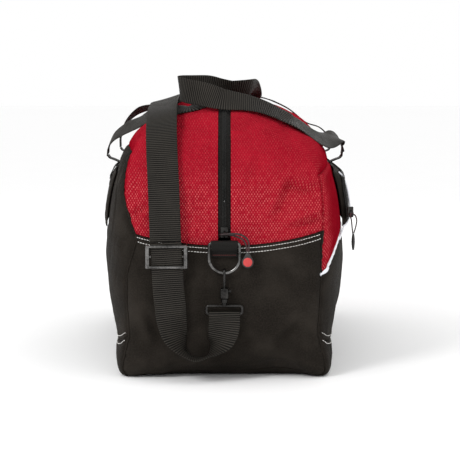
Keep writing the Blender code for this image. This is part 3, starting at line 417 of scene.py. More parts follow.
def squareness(z):
    low = np.minimum(z / 0.1, 1.0)
    high = np.clip((z - 0.2) / 0.25, 0.0, 1.0)
    blend = high * high * (3 - 2 * high)
    lower = BASE_SQUARENESS + (SIDE_SQUARENESS - BASE_SQUARENESS) * low
    return lower + (TOP_SQUARENESS - SIDE_SQUARENESS) * blend


def belly(z, y):
    out = np.interp(z, BELLY[:, 0], BELLY[:, 1])
    return out * np.maximum(1 - (y / BELLY_HALF_LENGTH) ** 2, 0.0) ** 1.25


def place(side, t, share, y):
    x, z = outline(t)
    wide = side * share * (x + belly(z, y))
    return np.stack(np.broadcast_arrays(wide, y, END_HEIGHT + share * (z - END_HEIGHT)), axis=-1)


def share_at(t, y):
    p = squareness(outline(t)[1])
    return (1 - np.abs(y / HALF_LENGTH) ** p) ** (1 / p)


def on_side(side, t, y):
    return place(side, t, share_at(t, y), y)


def on_end(end, side, t, share):
    p = squareness(outline(t)[1])
    return place(side, t, share, end * HALF_LENGTH * (1 - share**p) ** (1 / p))


def end_depth(x, z):
    """How far the end's surface stands from the middle of the bag, at (x, z)."""
    angle = np.arctan2(z - END_HEIGHT, np.abs(x))
    share = np.clip(np.hypot(x, z - END_HEIGHT) / np.interp(angle, ANGLES, RADII), 0.0, 1.0)
    p = squareness(np.interp(angle, ANGLES, OUTLINE[:, 1]))
    return HALF_LENGTH * (1 - share**p) ** (1 / p)


T_TUB = float(t_at_height(TUB_HEIGHT))
T_ZIP = float(t_at_top(ZIP_EDGE))
T_CORNER = float(t_at_height(0.009))  # the bottom corner of an end panel
# Height at which the red cloth of the top begins
SPLIT = {LEFT: 0.374, RIGHT: FLAP_EDGE}
T_SPLIT = {side: float(t_at_height(z)) for side, z in SPLIT.items()}
CORNER_Y = {LEFT: 0.318, RIGHT: FLAP_HALF_LENGTH}  # where the upright seam meets that height


def seam_share(side, t):
    """Share at which the upright seam between an end and a side runs."""
    table = np.array(SEAM_LEFT if side == LEFT else SEAM_RIGHT)
    own = np.interp(outline(t)[1], table[:, 0], table[:, 1])
    at_split = np.interp(SPLIT[side], table[:, 0], table[:, 1])
    fade = np.clip((outline(t)[1] - 0.29) / (SPLIT[side] - 0.29), 0, 1)
    return own + (share_at(T_SPLIT[side], CORNER_Y[side]) - at_split) * fade


def band_height(x):
    """Height of the seam between an end's black panel and the red dome."""
    return 0.216 + 0.0225 * (np.abs(x) / 0.157) ** 2.2


def piping_height(y):
    table = np.array([(0.0, PIPING[-1][1]), *reversed(PIPING)])
    return np.interp(np.abs(y), table[:, 0], table[:, 1])


def corner_of(side):
    """t where the upright seam meets the top of the black end panel."""
    t = np.linspace(t_at_height(0.2), t_at_height(0.28), 400)
    point = place(side, t, seam_share(side, t), HALF_LENGTH)
    return float(t[np.argmin(np.abs(point[:, 2] - band_height(point[:, 0])))])


T_BAND = {side: corner_of(side) for side in SIDES}


def band_limits():
    """x of both ends of the seam at band_height."""
    return [float(place(s, T_BAND[s], seam_share(s, T_BAND[s]), HALF_LENGTH)[0]) for s in SIDES]


def dome(x, y):
    """Point and outward normal of the top of the bag above (x, y)."""
    side = RIGHT if x >= 0 else LEFT
    low, high = float(t_at_height(0.3)), 1.0
    for _ in range(40):
        t = (low + high) / 2
        low, high = (t, high) if abs(on_side(side, t, y)[0]) > abs(x) else (low, t)
    along = on_side(side, t, y + 0.001) - on_side(side, t, y - 0.001)
    around = on_side(side, t + 0.004, y) - on_side(side, t - 0.004, y) if t < 0.995 else np.array((1.0, 0, 0))
    normal = np.cross(along, around)
    normal *= np.sign(normal[2]) / np.linalg.norm(normal)
    return Vector(on_side(side, t, y)), Vector(normal)


# ---------------------------------------------------------------- relief: seams, puckers and wrinkles


def seam_lines():
    """The lines that the cloth is sewn along, as lists of points."""
    lines = []
    for end in ENDS:
        x = np.linspace(*band_limits(), 160)
        z = band_height(x)
        lines.append(np.stack([x, end * end_depth(x, z), z], axis=1))
        for side in SIDES:
            t = np.linspace(0, T_SPLIT[side], 240)
            lines.append(on_end(end, side, t, seam_share(side, t)))
    for side in SIDES:
        lines.append(on_side(side, np.full(300, T_SPLIT[side]), np.linspace(-1, 1, 300) * CORNER_Y[side]))
        y = np.linspace(-0.386, 0.386, 300)
        lines.append(on_side(side, np.full(300, T_TUB), y))
    y = np.linspace(-0.38, 0.38, 300)
    lines.append(on_side(RIGHT, t_at_height(piping_height(y)), y))
    return lines


# Creases pressed into the near end: (x, z) where each starts and stops, its depth and its width
CREASES = [
    ((0.157, 0.299), (0.088, 0.318), 0.0081, 0.007), ((0.163, 0.262), (0.098, 0.242), 0.0071, 0.007),
    ((0.112, 0.328), (0.078, 0.252), 0.0062, 0.008), ((-0.156, 0.258), (-0.118, 0.283), 0.0071, 0.007),
    ((-0.135, 0.33), (-0.152, 0.285), 0.0052, 0.008), ((0.06, 0.37), (0.035, 0.3), 0.0038, 0.01),
    ((-0.05, 0.185), (-0.09, 0.12), 0.0044, 0.008), ((0.075, 0.2), (0.12, 0.13), 0.0044, 0.008),
    ((-0.02, 0.09), (0.06, 0.045), 0.0041, 0.009), ((0.13, 0.1), (0.085, 0.05), 0.0048, 0.008),
    ((-0.13, 0.12), (-0.1, 0.06), 0.0048, 0.008),
]


class Relief:
    """How far the sewn cloth stands off the smooth surface, at any point of it."""

    def __init__(self):
        lines = seam_lines()
        self.along = np.concatenate([run_of(line) + 7.3 * k for k, line in enumerate(lines)])
        points = np.concatenate(lines)
        self.tree = kdtree.KDTree(len(points))
        for k, point in enumerate(points):
            self.tree.insert(point, k)
        self.tree.balance()

    def __call__(self, points):
        flat = points.reshape(-1, 3)
        found = [self.tree.find(p) for p in flat]
        seam = np.array([f[2] for f in found])
        along = np.array([self.along[f[1]] for f in found])
        x, y, z = np.abs(flat[:, 0]), np.abs(flat[:, 1]), flat[:, 2]

        def cloud(scale, shift, stretch=(1, 1, 1)):
            places = flat * np.array(stretch) / scale + np.array((shift, 0, 0))
            return np.array([noise.noise(p) for p in places])

        broad = cloud(0.11, 3.1)
        folds = 1 - np.clip(np.abs(cloud(0.085, 11.7, (1, 1, 0.8))) * 3.2, 0, 1)
        small = 1 - np.clip(np.abs(cloud(0.034, 23.9)) * 3.0, 0, 1)
        fine = cloud(0.014, 31.3)
        patch = np.clip(cloud(0.13, 41.9) * 2.2 + 0.45, 0, 1)
        near_seam = np.exp(-seam / 0.03)
        high = np.clip((z - 0.36) / 0.04, 0, 1)
        off = 0.0042 * broad - 0.0032 * folds**2 * patch + 0.0004 * fine
        off -= 0.0017 * small**2 * patch * (0.35 + near_seam)
        off += 0.0032 * (1 - np.exp(-seam / 0.028)) - 0.0022 * high
        for (ax, az), (bx, bz), deep, wide in CREASES:
            run = np.array((bx - ax, bz - az))
            share = ((flat[:, 0] - ax) * run[0] + (z - az) * run[1]) / (run @ run)
            near = np.clip(share, 0, 1)
            off_line = np.hypot(flat[:, 0] - ax - near * run[0], z - az - near * run[1])
            side_of = np.sign((flat[:, 0] - ax) * run[1] - (z - az) * run[0])
            fade = np.clip(1.2 * np.sin(np.pi * np.clip(share, 0.02, 0.98)), 0, 1)
            fade = fade * (y > 0.3) * (flat[:, 1] < 0)
            raised = 0.75 * bell(off_line - 1.6 * wide, wide) * (side_of > 0)
            off += fade * deep * (raised - bell(off_line, wide))
        off += 0.0008 * np.sin(2 * np.pi * along / 0.0135 + 5 * broad) * np.exp(-seam / 0.011) * (0.4 + patch)
        # the zip, the ring's tab and the handles' feet lie flat
        middle = bell(x, 0.026) * np.clip((0.27 - z) / 0.03, 0, 1) * np.clip((z - 0.17) / 0.02, 0, 1)
        beside_zip = bell(x, 0.016)
        off = off * (1 - middle) * (1 - 0.75 * beside_zip)
        # and so does the cloth under a pocket
        under_pocket = np.clip((x - 0.15) / 0.01, 0, 1) * np.clip((0.35 - z) / 0.01, 0, 1)
        under_pocket = under_pocket * np.clip((z - 0.225) / 0.01, 0, 1)
        off = np.where(under_pocket > 0, np.minimum(off, 0.0004 + 0.004 * (1 - under_pocket)), off)
        off -= 0.0024 * bell(seam, 0.0036)
        off *= np.clip((z - 0.004) / 0.03, 0.15, 1)  # it can't swell through the floor
        return off.reshape(points.shape[:-1])


RELIEF = Relief()


def lifted(points):
    """Raises the bottom edge of each end off the floor in shallow arches."""
    x, y, z = points[..., 0], points[..., 1], points[..., 2]
    raised = 0.0125 / ((1 + np.exp(-(x + 0.09) / 0.004)) * (1 + np.exp((x - 0.128) / 0.006)))
    near = raised + 0.012 * bell(x - 0.085, 0.032)
    far = 0.009 * bell(x - 0.03, 0.06) + 0.007 * bell(x + 0.075, 0.03)
    arches = np.where(y < 0, near, far)
    reach = np.clip((np.abs(y) - 0.362) / 0.034, 0, 1) ** 1.5  # the board inside keeps the rest flat
    low = np.clip(1 - z / 0.11, 0, 1)
    # the cloth is full in the bottom corners
    corner = np.clip((np.abs(x) - 0.128) / 0.03, 0, 1) * np.clip(1 - z / 0.07, 0, 1)
    corner = corner * np.clip((np.abs(y) - 0.15) / 0.15, 0, 1)
    out = points.copy()
    out[..., 0] = x + np.sign(x) * 0.012 * corner
    out[..., 2] = np.maximum(z - 0.0095 * corner, 0.08 * z) + arches * reach * low**2
    return out


def grid_normals(points):
    along, across = np.gradient(points, axis=0), np.gradient(points, axis=1)
    normals = np.cross(along, across)
    length = np.linalg.norm(normals, axis=-1, keepdims=True)
    normals = normals / np.where(length < 1e-12, 1, length)
    middle = points - np.array((0, 0, 0.2))
    middle[..., 1] *= 0.5
    if (normals * middle).sum() < 0:
        normals = -normals
    return normals


def dressed(points):
    """The grid of points with the cloth's relief on it."""
    base = lifted(points)
    normals = grid_normals(base)
    base = base + normals * RELIEF(points)[..., None]
    base[..., 2] = np.maximum(base[..., 2], 0.0008)
    return base


# ---------------------------------------------------------------- meshes


def link(name, mesh, *looks):
    made = bpy.data.objects.new(name, mesh)
    for look in looks:
        mesh.materials.append(LOOKS[look])
    bpy.context.scene.collection.objects.link(made)
    mesh.shade_smooth()
    return made


def pinned(made, body, nodes=()):
    """Ties a piece to a body; for "left", "right" or a tuple it only bakes the piece's transform."""
    if body in ("left", "right"):
        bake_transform(made)
    elif isinstance(body, tuple):
        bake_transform(made)
    else:
        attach(made, body)
    if nodes:
        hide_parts(*nodes)
    return made


def grid_faces(rows, columns, start=0, closed=False):
    faces = []
    for i in range(start, start + (rows - 1) * columns, columns):
        for j in range(columns if closed else columns - 1):
            after = (j + 1) % columns
            faces.append((i + j, i + columns + j, i + columns + after, i + after))
    return faces


def mesh_of(name, verts, faces, uv=None, weld=0.0):
    """A mesh with its faces turned outwards; uv has a place for each vertex, weld closes a sheet's seams."""
    mesh = bpy.data.meshes.new(name)
    mesh.from_pydata(verts, [], faces)
    if uv is not None:
        corners = np.array([uv[k] for face in faces for k in face], np.float32)
        mesh.uv_layers.new(name="UVMap").data.foreach_set("uv", corners.reshape(-1))
    bm = bmesh.new()
    bm.from_mesh(mesh)
    if weld:
        bmesh.ops.remove_doubles(bm, verts=bm.verts, dist=weld)
    bmesh.ops.recalc_face_normals(bm, faces=bm.faces)
    if weld and sum(outwardness(face) for face in bm.faces) < 0:
        bmesh.ops.reverse_faces(bm, faces=bm.faces)
    bm.to_mesh(mesh)
    bm.free()
    return mesh


def outwardness(face):
    x, y, z = face.calc_center_median()
    return face.normal.dot(Vector((x, 0.3 * y, z - 0.2))) * face.calc_area()


def evaluated(made):
    """The object with its modifiers made part of its mesh."""
    made.data = bpy.data.meshes.new_from_object(made.evaluated_get(bpy.context.evaluated_depsgraph_get()))
    made.modifiers.clear()
    return made


def cloth_piece(name, patches, looks, thickness=CLOTH):
    """One sewn panel from grids that meet edge to edge, each (points, uv); its inside has the second look."""
    verts, faces, uvs = [], [], []
    for points, uv in patches:
        rows, columns = points.shape[:2]
        faces += grid_faces(rows, columns, len(verts))
        verts += [tuple(p) for p in points.reshape(-1, 3)]
        uvs += [tuple(p) for p in uv.reshape(-1, 2)]
    made = link(name, mesh_of(name, verts, faces, uvs, weld=0.00025), *looks)
    thick = made.modifiers.new("thick", "SOLIDIFY")
    thick.thickness, thick.offset, thick.use_even_offset, thick.material_offset = thickness, -1.0, False, 1
    evaluated(made).data.shade_smooth()
    made.data.set_sharp_from_angle(angle=math.radians(50))
    return made


def loft(name, rings, look, uv=None, cyclic=False):
    """A closed piece through rings of points, with flat ends unless it runs round to its start."""
    count, size = len(rings), len(rings[0])
    verts = [tuple(p) for ring in rings for p in ring]
    faces = grid_faces(count, size, closed=True)
    last = (count - 1) * size
    if cyclic:
        faces += [(last + j, j, (j + 1) % size, last + (j + 1) % size) for j in range(size)]
    else:
        faces += [tuple(range(size - 1, -1, -1)), tuple(range(last, last + size))]
    return link(name, mesh_of(name, verts, faces, uv), look)


def strip_frames(route, count=700):
    """Points, directions and widths along a route of (point, direction of its width)."""
    fine = smooth([p for p, _ in route], count)
    pts = np.array([tuple(p) for p in fine])
    marks = [int(np.argmin(np.linalg.norm(pts - np.array(tuple(p)), axis=1))) for p, _ in route]
    frames = []
    for k, point in enumerate(fine):
        i = max(j for j in range(len(marks) - 1) if marks[j] <= k)
        share = min(max((k - marks[i]) / max(marks[i + 1] - marks[i], 1), 0.0), 1.0)
        wide = Vector(route[i][1]).normalized().lerp(Vector(route[i + 1][1]).normalized(), share)
        along = (fine[min(k + 1, count - 1)] - fine[max(k - 1, 0)]).normalized()
        frames.append((point, along, (wide - along * wide.dot(along)).normalized()))
    return frames


def ribbon(name, route, look, width, thickness=WEBBING, step=0.004, cup=0.0, wander=0.0):
    """Flat woven strip with rounded edges along a route; cup bows it across, wander lets its edges drift."""
    frames = strip_frames(route)
    total = sum((b[0] - a[0]).length for a, b in zip(frames, frames[1:]))
    count = max(int(total / step), 8)
    chosen = [frames[round(k * (len(frames) - 1) / count)] for k in range(count + 1)]
    across = [-1, -0.97, -0.88, -0.6, -0.3, 0, 0.3, 0.6, 0.88, 0.97, 1]
    thick = [0.25, 0.75, 1, 1, 1, 1, 1, 1, 1, 0.75, 0.25]
    rings, uv, far = [], [], 0.0
    for k, (point, along, wide) in enumerate(chosen):
        far += (point - chosen[k - 1][0]).length if k else 0.0
        face = along.cross(wide)
        drift = wander * noise.noise((far / 0.05, width * 70, 4.2))
        ring = []
        for level, order in ((1, range(11)), (-1, range(10, -1, -1))):
            for j in order:
                a = across[j] * width / 2
                bow = cup * (1 - across[j] ** 2) + drift * across[j]
                ring.append(point + wide * a + face * (level * thick[j] * thickness / 2 + bow))
                uv.append((a, far))
        rings.append(ring)
    return loft(name, rings, look, uv)


def tube(name, points, radius, look, sides=12, cyclic=False, braid=0.0):
    """Round cord, wire or piping along a list of points; braid gives it a plaited surface."""
    pts = [Vector(p) for p in points]
    count = len(pts)
    up, rings, uv, far = Vector((0.31, 0.2, 0.93)), [], [], 0.0
    for k, point in enumerate(pts):
        before = pts[k - 1 if cyclic or k else 0]
        after = pts[(k + 1) % count if cyclic else min(k + 1, count - 1)]
        along = (after - before).normalized()
        first = (up - along * up.dot(along))
        first = (first if first.length > 0.1 else along.orthogonal()).normalized()
        second, up = along.cross(first), first
        far += (point - pts[k - 1]).length if k else 0.0
        ring = []
        for angle in turns(sides):
            swell = radius * (1 + braid * math.sin(3 * angle + far * 900) * math.sin(3 * angle - far * 900))
            ring.append(point + swell * (first * math.cos(angle) + second * math.sin(angle)))
            uv.append((angle * radius, far))
        rings.append(ring)
    return loft(name, rings, look, uv, cyclic=cyclic)


def pills(name, items, radius, look, squash=1.0):
    """Many short round-ended rods in one mesh; each item is (centre, direction, length, up)."""
    verts, faces, sides = [], [], 6
    for centre, direction, length, up in items:
        along = Vector(direction).normalized()
        out = Vector(up) - along * Vector(up).dot(along)
        out.normalize()
        across, start = along.cross(out), len(verts)
        for where, size in ((-0.5, 0.45), (-0.36, 1.0), (0.36, 1.0), (0.5, 0.45)):
            middle = Vector(centre) + along * (where * length)
            for a in turns(sides):
                spoke = across * math.cos(a) + out * (squash * math.sin(a))
                verts.append(tuple(middle + size * radius * spoke))
        faces += grid_faces(4, sides, start, closed=True)
        faces.append(tuple(range(start + sides - 1, start - 1, -1)))
        faces.append(tuple(range(start + 3 * sides, start + 4 * sides)))
    return link(name, mesh_of(name, verts, faces), look)


# ---------------------------------------------------------------- cloth panels


def spread(count, ease=0.35):
    """Numbers from 0 to 1, closer together at both ends."""
    u = np.linspace(0, 1, count)
    return (1 - ease) * u + ease * (1 - np.cos(np.pi * u)) / 2


def arc_uv(points):
    """Distances along the columns and the rows of a grid, from its middle, for the weave."""
    down = np.stack([run_of(column) for column in points.transpose(1, 0, 2)], axis=1)
    right = np.stack([run_of(row) for row in points])
    i, j = points.shape[0] // 2, points.shape[1] // 2
    return np.stack([down - down[i : i + 1], right - right[:, j : j + 1]], axis=-1)


def coons(bottom, top, left, right):
    """Grid between four edges; bottom and top run from left to right, left and right from bottom to top."""
    u = np.linspace(0, 1, len(bottom))[None, :, None]
    v = np.linspace(0, 1, len(left))[:, None, None]
    plain = (1 - v) * bottom[None] + v * top[None] + (1 - u) * left[:, None] + u * right[:, None]
    corners = (1 - u) * (1 - v) * bottom[0] + u * (1 - v) * bottom[-1]
    return plain - (corners + (1 - u) * v * top[0] + u * v * top[-1])


def resampled(points, shares):
    far = run_of(points)
    return at_length(shares * far[-1], far, points)


def share_step(side, t, distance):
    """Change of share that moves a point of the upright seam by a distance over the surface."""
    (x, z), share = outline(t), seam_share(side, t)
    p = squareness(z)
    slope = HALF_LENGTH * share ** (p - 1) * (1 - share**p) ** (1 / p - 1)
    return distance / np.sqrt(x**2 + (z - END_HEIGHT) ** 2 + slope**2)


def end_edge(side, t, inset):
    """(x, z) on the upright seam, inset a little towards the middle of the end."""
    return place(side, t, seam_share(side, t) - share_step(side, t, inset), HALF_LENGTH)[..., [0, 2]]


def end_grid(end):
    """Grid of the lower black panel of an end."""
    across, up = spread(84, 0.3), spread(60, 0.3)
    lower_right = end_edge(RIGHT, np.linspace(0, T_CORNER, 60), SEAM_GAP)
    lower_left = end_edge(LEFT, np.linspace(T_CORNER, 0, 60), SEAM_GAP)
    bottom = resampled(np.concatenate([lower_left[:-1], lower_right]), across)
    sides = {s: end_edge(s, np.linspace(T_CORNER, T_BAND[s], 90), SEAM_GAP) for s in SIDES}
    left, right = (resampled(sides[s], up) for s in SIDES)
    left[-1, 1], right[-1, 1] = (band_height(e[-1, 0]) - BAND_GAP for e in (left, right))
    x = left[-1, 0] + (right[-1, 0] - left[-1, 0]) * across
    top = np.stack([x, band_height(x) - BAND_GAP], axis=1)
    flat = coons(bottom, top, left, right)
    return np.stack([flat[..., 0], end * end_depth(flat[..., 0], flat[..., 1]), flat[..., 1]], axis=-1), flat


def side_limits(side, t):
    """Half the length of a side panel at each t."""
    share = seam_share(side, t) + share_step(side, t, SEAM_GAP)
    p = squareness(outline(t)[1])
    return HALF_LENGTH * (1 - share**p) ** (1 / p)


def lengthwise(fine, ends, middle):
    """Places from -1 to 1 along a panel, closer together over the fine part at both ends."""
    near = -1 + spread(ends, 0.0) * fine
    far = 1 - fine + spread(ends, 0.0) * fine
    return np.concatenate([near, np.linspace(fine - 1, 1 - fine, middle)[1:-1], far])


def side_grid(side, low, high, rows):
    """Grid of a side panel; low and high are its edges as t, each a number or a function of y."""
    u = lengthwise(0.14, 30, 116)
    share = spread(rows, 0.35)
    edges = []
    for edge in (low, high):
        t = np.full(len(u), 0.3)
        for _ in range(12):
            t = edge(u * side_limits(side, t)) if callable(edge) else np.full(len(u), edge)
        edges.append(t)
    t = edges[0][:, None] + (edges[1] - edges[0])[:, None] * share[None]
    return on_side(side, t, u[:, None] * side_limits(side, t))


def dome_end(end, side):
    """Grid of the red cloth over one end, from its middle out to the upright seam and the shoulder."""
    split = T_SPLIT[side]
    step = split - T_BAND[side]
    t = np.concatenate([T_BAND[side] + step * spread(30, 0.2), split + (T_ZIP - split) * DOME_ROWS[1:]])
    inset = share_step(side, t, SEAM_GAP) * np.clip((split - t) / step, 0, 1)
    edge = np.where(t < split, seam_share(side, t) - inset, share_at(t, CORNER_Y[side]))
    rim = place(side, t, edge, HALF_LENGTH)[..., [0, 2]]
    pole = np.array((side * ZIP_EDGE, band_height(ZIP_EDGE) + BAND_GAP))
    out = spread(44, 0.0)[None, :, None]
    flat = pole + out * (rim[:, None] - pole)
    # the lowest row follows the curved seam, and the rows above it ease into straight ones
    curved = band_height(flat[0, :, 0]) + BAND_GAP - flat[0, :, 1]
    height = np.linspace(0, 1, len(t))[:, None]
    flat[..., 1] += curved[None] * np.clip(1 - height / 0.35, 0, 1) ** 2
    flat[..., 0] = side * np.maximum(side * flat[..., 0], ZIP_EDGE)
    points = np.stack([flat[..., 0], end * end_depth(flat[..., 0], flat[..., 1]), flat[..., 1]], axis=-1)
    upper = t >= split
    points[upper, -1] = on_side(side, t[upper], np.full(upper.sum(), end * CORNER_Y[side]))
    points[:, -1, 0] = side * np.maximum(side * points[:, -1, 0], ZIP_EDGE)
    return points, flat


DOME_ROWS = spread(58, 0.2)


def dome_top(side):
    t = T_SPLIT[side] + (T_ZIP - T_SPLIT[side]) * DOME_ROWS
    y = np.linspace(-1, 1, 150) * CORNER_Y[side]
    points = on_side(side, t[:, None], y[None])
    points[..., 0] = side * np.maximum(side * points[..., 0], ZIP_EDGE)
    return points


def red_dome(side):
    """Half of the red upper bag: up the near end, along the top beside the zip and down the far end."""
    patches = []
    for end in ENDS:
        points, flat = dome_end(end, side)
        patches.append((dressed(points), flat))
    top = dome_top(side)
    patches.append((dressed(top), arc_uv(top)))
    name = SIDE_NAME[side]
    # the patches meet at an edge where their normals differ, so both are given the same edge
    for end, column in ((NEAR, 0), (FAR, -1)):
        end_points = patches[0 if end == NEAR else 1][0]
        shared = (end_points[-len(DOME_ROWS) :, -1] + patches[2][0][:, column]) / 2
        end_points[-len(DOME_ROWS) :, -1] = shared
        patches[2][0][:, column] = shared
    made = cloth_piece(f"cloth_dome_{name}", patches, ("red", "lining"))
    nodes = [f"upper_end_near_{name}", f"upper_end_far_{name}", f"top_flap_{name}"]
    return pinned(made, name, nodes)


def panel(name, grid, body, node, uv=None, face="black"):
    made = cloth_piece(name, [(dressed(grid), arc_uv(grid) if uv is None else uv)], (face, "lining"))
    pinned(made, body, [node])


def black_panels():
    """The panels below and beside the red dome, with the red one above the piping of the right side."""
    for end in ENDS:
        points, flat = end_grid(end)
        panel(f"cloth_end_{END_NAME[end]}", points, "bag", f"end_panel_{END_NAME[end]}", flat)

    def piped(shift):
        return lambda y: t_at_height(piping_height(y)) + shift

    low, high = T_TUB + EDGE_GAP, {side: T_SPLIT[side] - EDGE_GAP for side in SIDES}
    panel("cloth_side_left", side_grid(LEFT, low, high[LEFT], 68), "left", "side_panel_left")
    panel("cloth_side_right", side_grid(RIGHT, low, piped(-0.001), 42), "right", "side_panel_right")
    upper = side_grid(RIGHT, piped(0.001), high[RIGHT], 32)
    panel("cloth_upper_right", upper, "right", "side_upper_right", face="red")

    edge = T_TUB - EDGE_GAP
    t = np.concatenate([-edge * (1 - spread(50, 0.0)), edge * spread(50, 0.0)[1:]])
    half = np.where(t < 0, side_limits(LEFT, np.abs(t)), side_limits(RIGHT, np.abs(t)))
    points = on_side(1, np.abs(t)[None], lengthwise(0.12, 24, 90)[:, None] * half[None])
    points[..., 0] *= np.sign(t)[None]
    panel("cloth_base", points, "bag", "base_panel")


# ---------------------------------------------------------------- piping and stitches


def seated(points, normals, lift):
    """Points of a line on the smooth surface, moved to lie on the cloth's relief."""
    pts = np.array([tuple(p) for p in points])
    out = np.array([tuple(n) for n in normals])
    return lifted(pts) + out * (RELIEF(pts) + lift)[:, None]


def end_normals(end, points):
    """Outward normals of an end's surface at points on it."""
    x, z = points[:, 0], points[:, 2]
    step = 0.0015
    dx = (end_depth(x + step, z) - end_depth(x - step, z)) / (2 * step)
    dz = (end_depth(x, z + step) - end_depth(x, z - step)) / (2 * step)
    normals = np.stack([-dx, np.full(len(x), float(end)), -dz], axis=1)
    return normals / np.linalg.norm(normals, axis=1, keepdims=True)


def side_normals(side, t, y):
    along = on_side(side, t, y + 0.002) - on_side(side, t, y - 0.002)
    above = on_side(side, t + 0.004, y) - on_side(side, t - 0.004, y)
    normals = np.cross(along, above)
    normals *= np.sign(normals[:, :1] * side)
    return normals / np.linalg.norm(normals, axis=1, keepdims=True)


def dashes(points, normals, pitch, length, waver=0.0):
    """Items for pills(): stitches along a line of points, with the line's normals."""
    far = run_of(points)
    items = []
    for k in range(int(far[-1] / pitch)):
        want = (k + 0.5) * pitch
        ahead = at_length(want + length / 2, far, points) - at_length(want - length / 2, far, points)
        normal = at_length(want, far, normals)
        tilt = np.cross(ahead, normal) * waver * math.sin(k * 2.3)
        items.append((at_length(want, far, points), ahead + tilt, length, normal))
    return items


def end_line(end, x, drop):
    """Line below the top of an end's black panel, as points and normals on the cloth."""
    z = band_height(x) - drop
    points = np.stack([x, end * end_depth(x, z), z], axis=1)
    normals = end_normals(end, points)
    return seated(points, normals, 0.0003), normals


def stitches():
    for end in ENDS:
        items = []
        limits = band_limits()
        for drop in (0.0042, 0.0112):
            slope = drop * 0.25
            x = np.linspace(limits[0] + 0.003 - slope, limits[1] - 0.003, 260)
            items += dashes(*end_line(end, x, drop), *STITCH, 0.06)
        made = pills(f"band_stitches_{END_NAME[end]}", items, 0.00048, "thread", 0.8)
        pinned(made, "bag")
    for side in SIDES:
        items = []
        for height in (TUB_HEIGHT - 0.0045, TUB_HEIGHT + 0.0065):
            t = np.full(320, float(t_at_height(height)))
            half = float(side_limits(side, t[:1])[0]) - 0.004
            y = np.linspace(-half, half, 320)
            normals = side_normals(side, t, y)
            items += dashes(seated(on_side(side, t, y), normals, 0.0003), normals, *STITCH, 0.06)
        made = pills(f"tub_stitches_{SIDE_NAME[side]}", items, 0.00055, "thread", 0.8)
        pinned(made, "bag")


def end_piping():
    """Piping down the upright seams of both ends: red beside the dome on the right, black elsewhere."""
    for end in ENDS:
        for side in SIDES:
            name = f"{END_NAME[end]}_{SIDE_NAME[side]}"
            stop = T_SPLIT[LEFT] if side == LEFT else T_BAND[side]
            runs = [(t_at_height(0.004), stop, 0.0017, "black", "seam_piping")]
            if side == RIGHT:
                runs.append((T_BAND[side], T_SPLIT[side], 0.001, "red", "red_seam"))
            for start, stop, radius, look, kind in runs:
                t = np.linspace(start, stop, 100)
                points = on_end(end, side, t, seam_share(side, t))
                normals = end_normals(end, points)
                line = seated(points, normals, 0.4 * radius)
                line[:, 2] = np.maximum(line[:, 2], radius + 0.0002)
                made = tube(f"{kind}_{name}", line, radius, look, sides=10)
                pinned(made, SIDE_NAME[side], [f"end_piping_{name}"] if kind == "seam_piping" else ())


def white_piping():
    """Reflective piping along the right side, flatter towards both ends."""
    route = [(-y, z) for y, z in PIPING] + [(0.0, PIPING[-1][1])] + [(y, z) for y, z in reversed(PIPING)]
    fine = smooth([(0.0, y, z) for y, z in route], 240)
    y, t = np.array([p.y for p in fine]), t_at_height(np.array([p.z for p in fine]))
    normals = side_normals(RIGHT, t, y)
    points = on_side(RIGHT, t, y)
    widen = np.clip((np.abs(y) - 0.30) / 0.03, 0, 1) * np.clip((0.396 - np.abs(y)) / 0.008, 0.3, 1)
    line = seated(points, normals, 0.0017)
    pts = [Vector(p) for p in line]
    rings, uv, far = [], [], 0.0
    for k, point in enumerate(pts):
        along = (pts[min(k + 1, len(pts) - 1)] - pts[max(k - 1, 0)]).normalized()
        out = Vector(normals[k])
        across = along.cross(out).normalized()
        far += (point - pts[k - 1]).length if k else 0
        half = 0.0019 + 0.0016 * widen[k]
        ring = []
        for a in turns(14):
            ring.append(point + across * (half * math.cos(a)) + out * (0.0018 * math.sin(a)))
            uv.append((half * a, far))
        rings.append(ring)
    pinned(loft("white_seam_piping", rings, "piping", uv), "bag", ["reflective_piping"])


def pocket_piping():
    """Reflective piping round the near end of the right pocket, narrower as it rises."""
    edge = [(-0.335, 0.2215), (-0.318, 0.2295), (-0.304, 0.2355), (-0.293, 0.2425), (-0.283, 0.2505)]
    edge += [(-0.2755, 0.2605), (-0.2725, 0.273), (-0.272, 0.288), (-0.2722, 0.302), (-0.2745, 0.3135)]
    edge += [(-0.279, 0.322), (-0.2845, 0.3285)]
    fine = smooth([(y, z, 0.0) for y, z in edge], 70)
    line, rings, uv = [], [], []
    for y, z, _ in fine:
        point, _, _, out = pocket_frame(RIGHT, y, z)
        lift = -0.0022 + 0.0044 * min(max((y + 0.335) / 0.045, 0.0), 1.0)
        line.append((point + out * lift, out))
    for k, (point, out) in enumerate(line):
        along = (line[min(k + 1, len(line) - 1)][0] - line[max(k - 1, 0)][0]).normalized()
        across = along.cross(out).normalized()
        share = k / (len(line) - 1)
        half = 0.0034 - 0.0021 * min(max(share - 0.3, 0.0) / 0.2, 1.0)
        rings.append([point + across * (half * math.cos(a)) + out * (0.0013 * math.sin(a)) for a in turns(12)])
        uv += [(half * a, 0.1 * share) for a in turns(12)]
    pinned(loft("white_pocket_piping", rings, "piping", uv), "right")


# ---------------------------------------------------------------- main zip


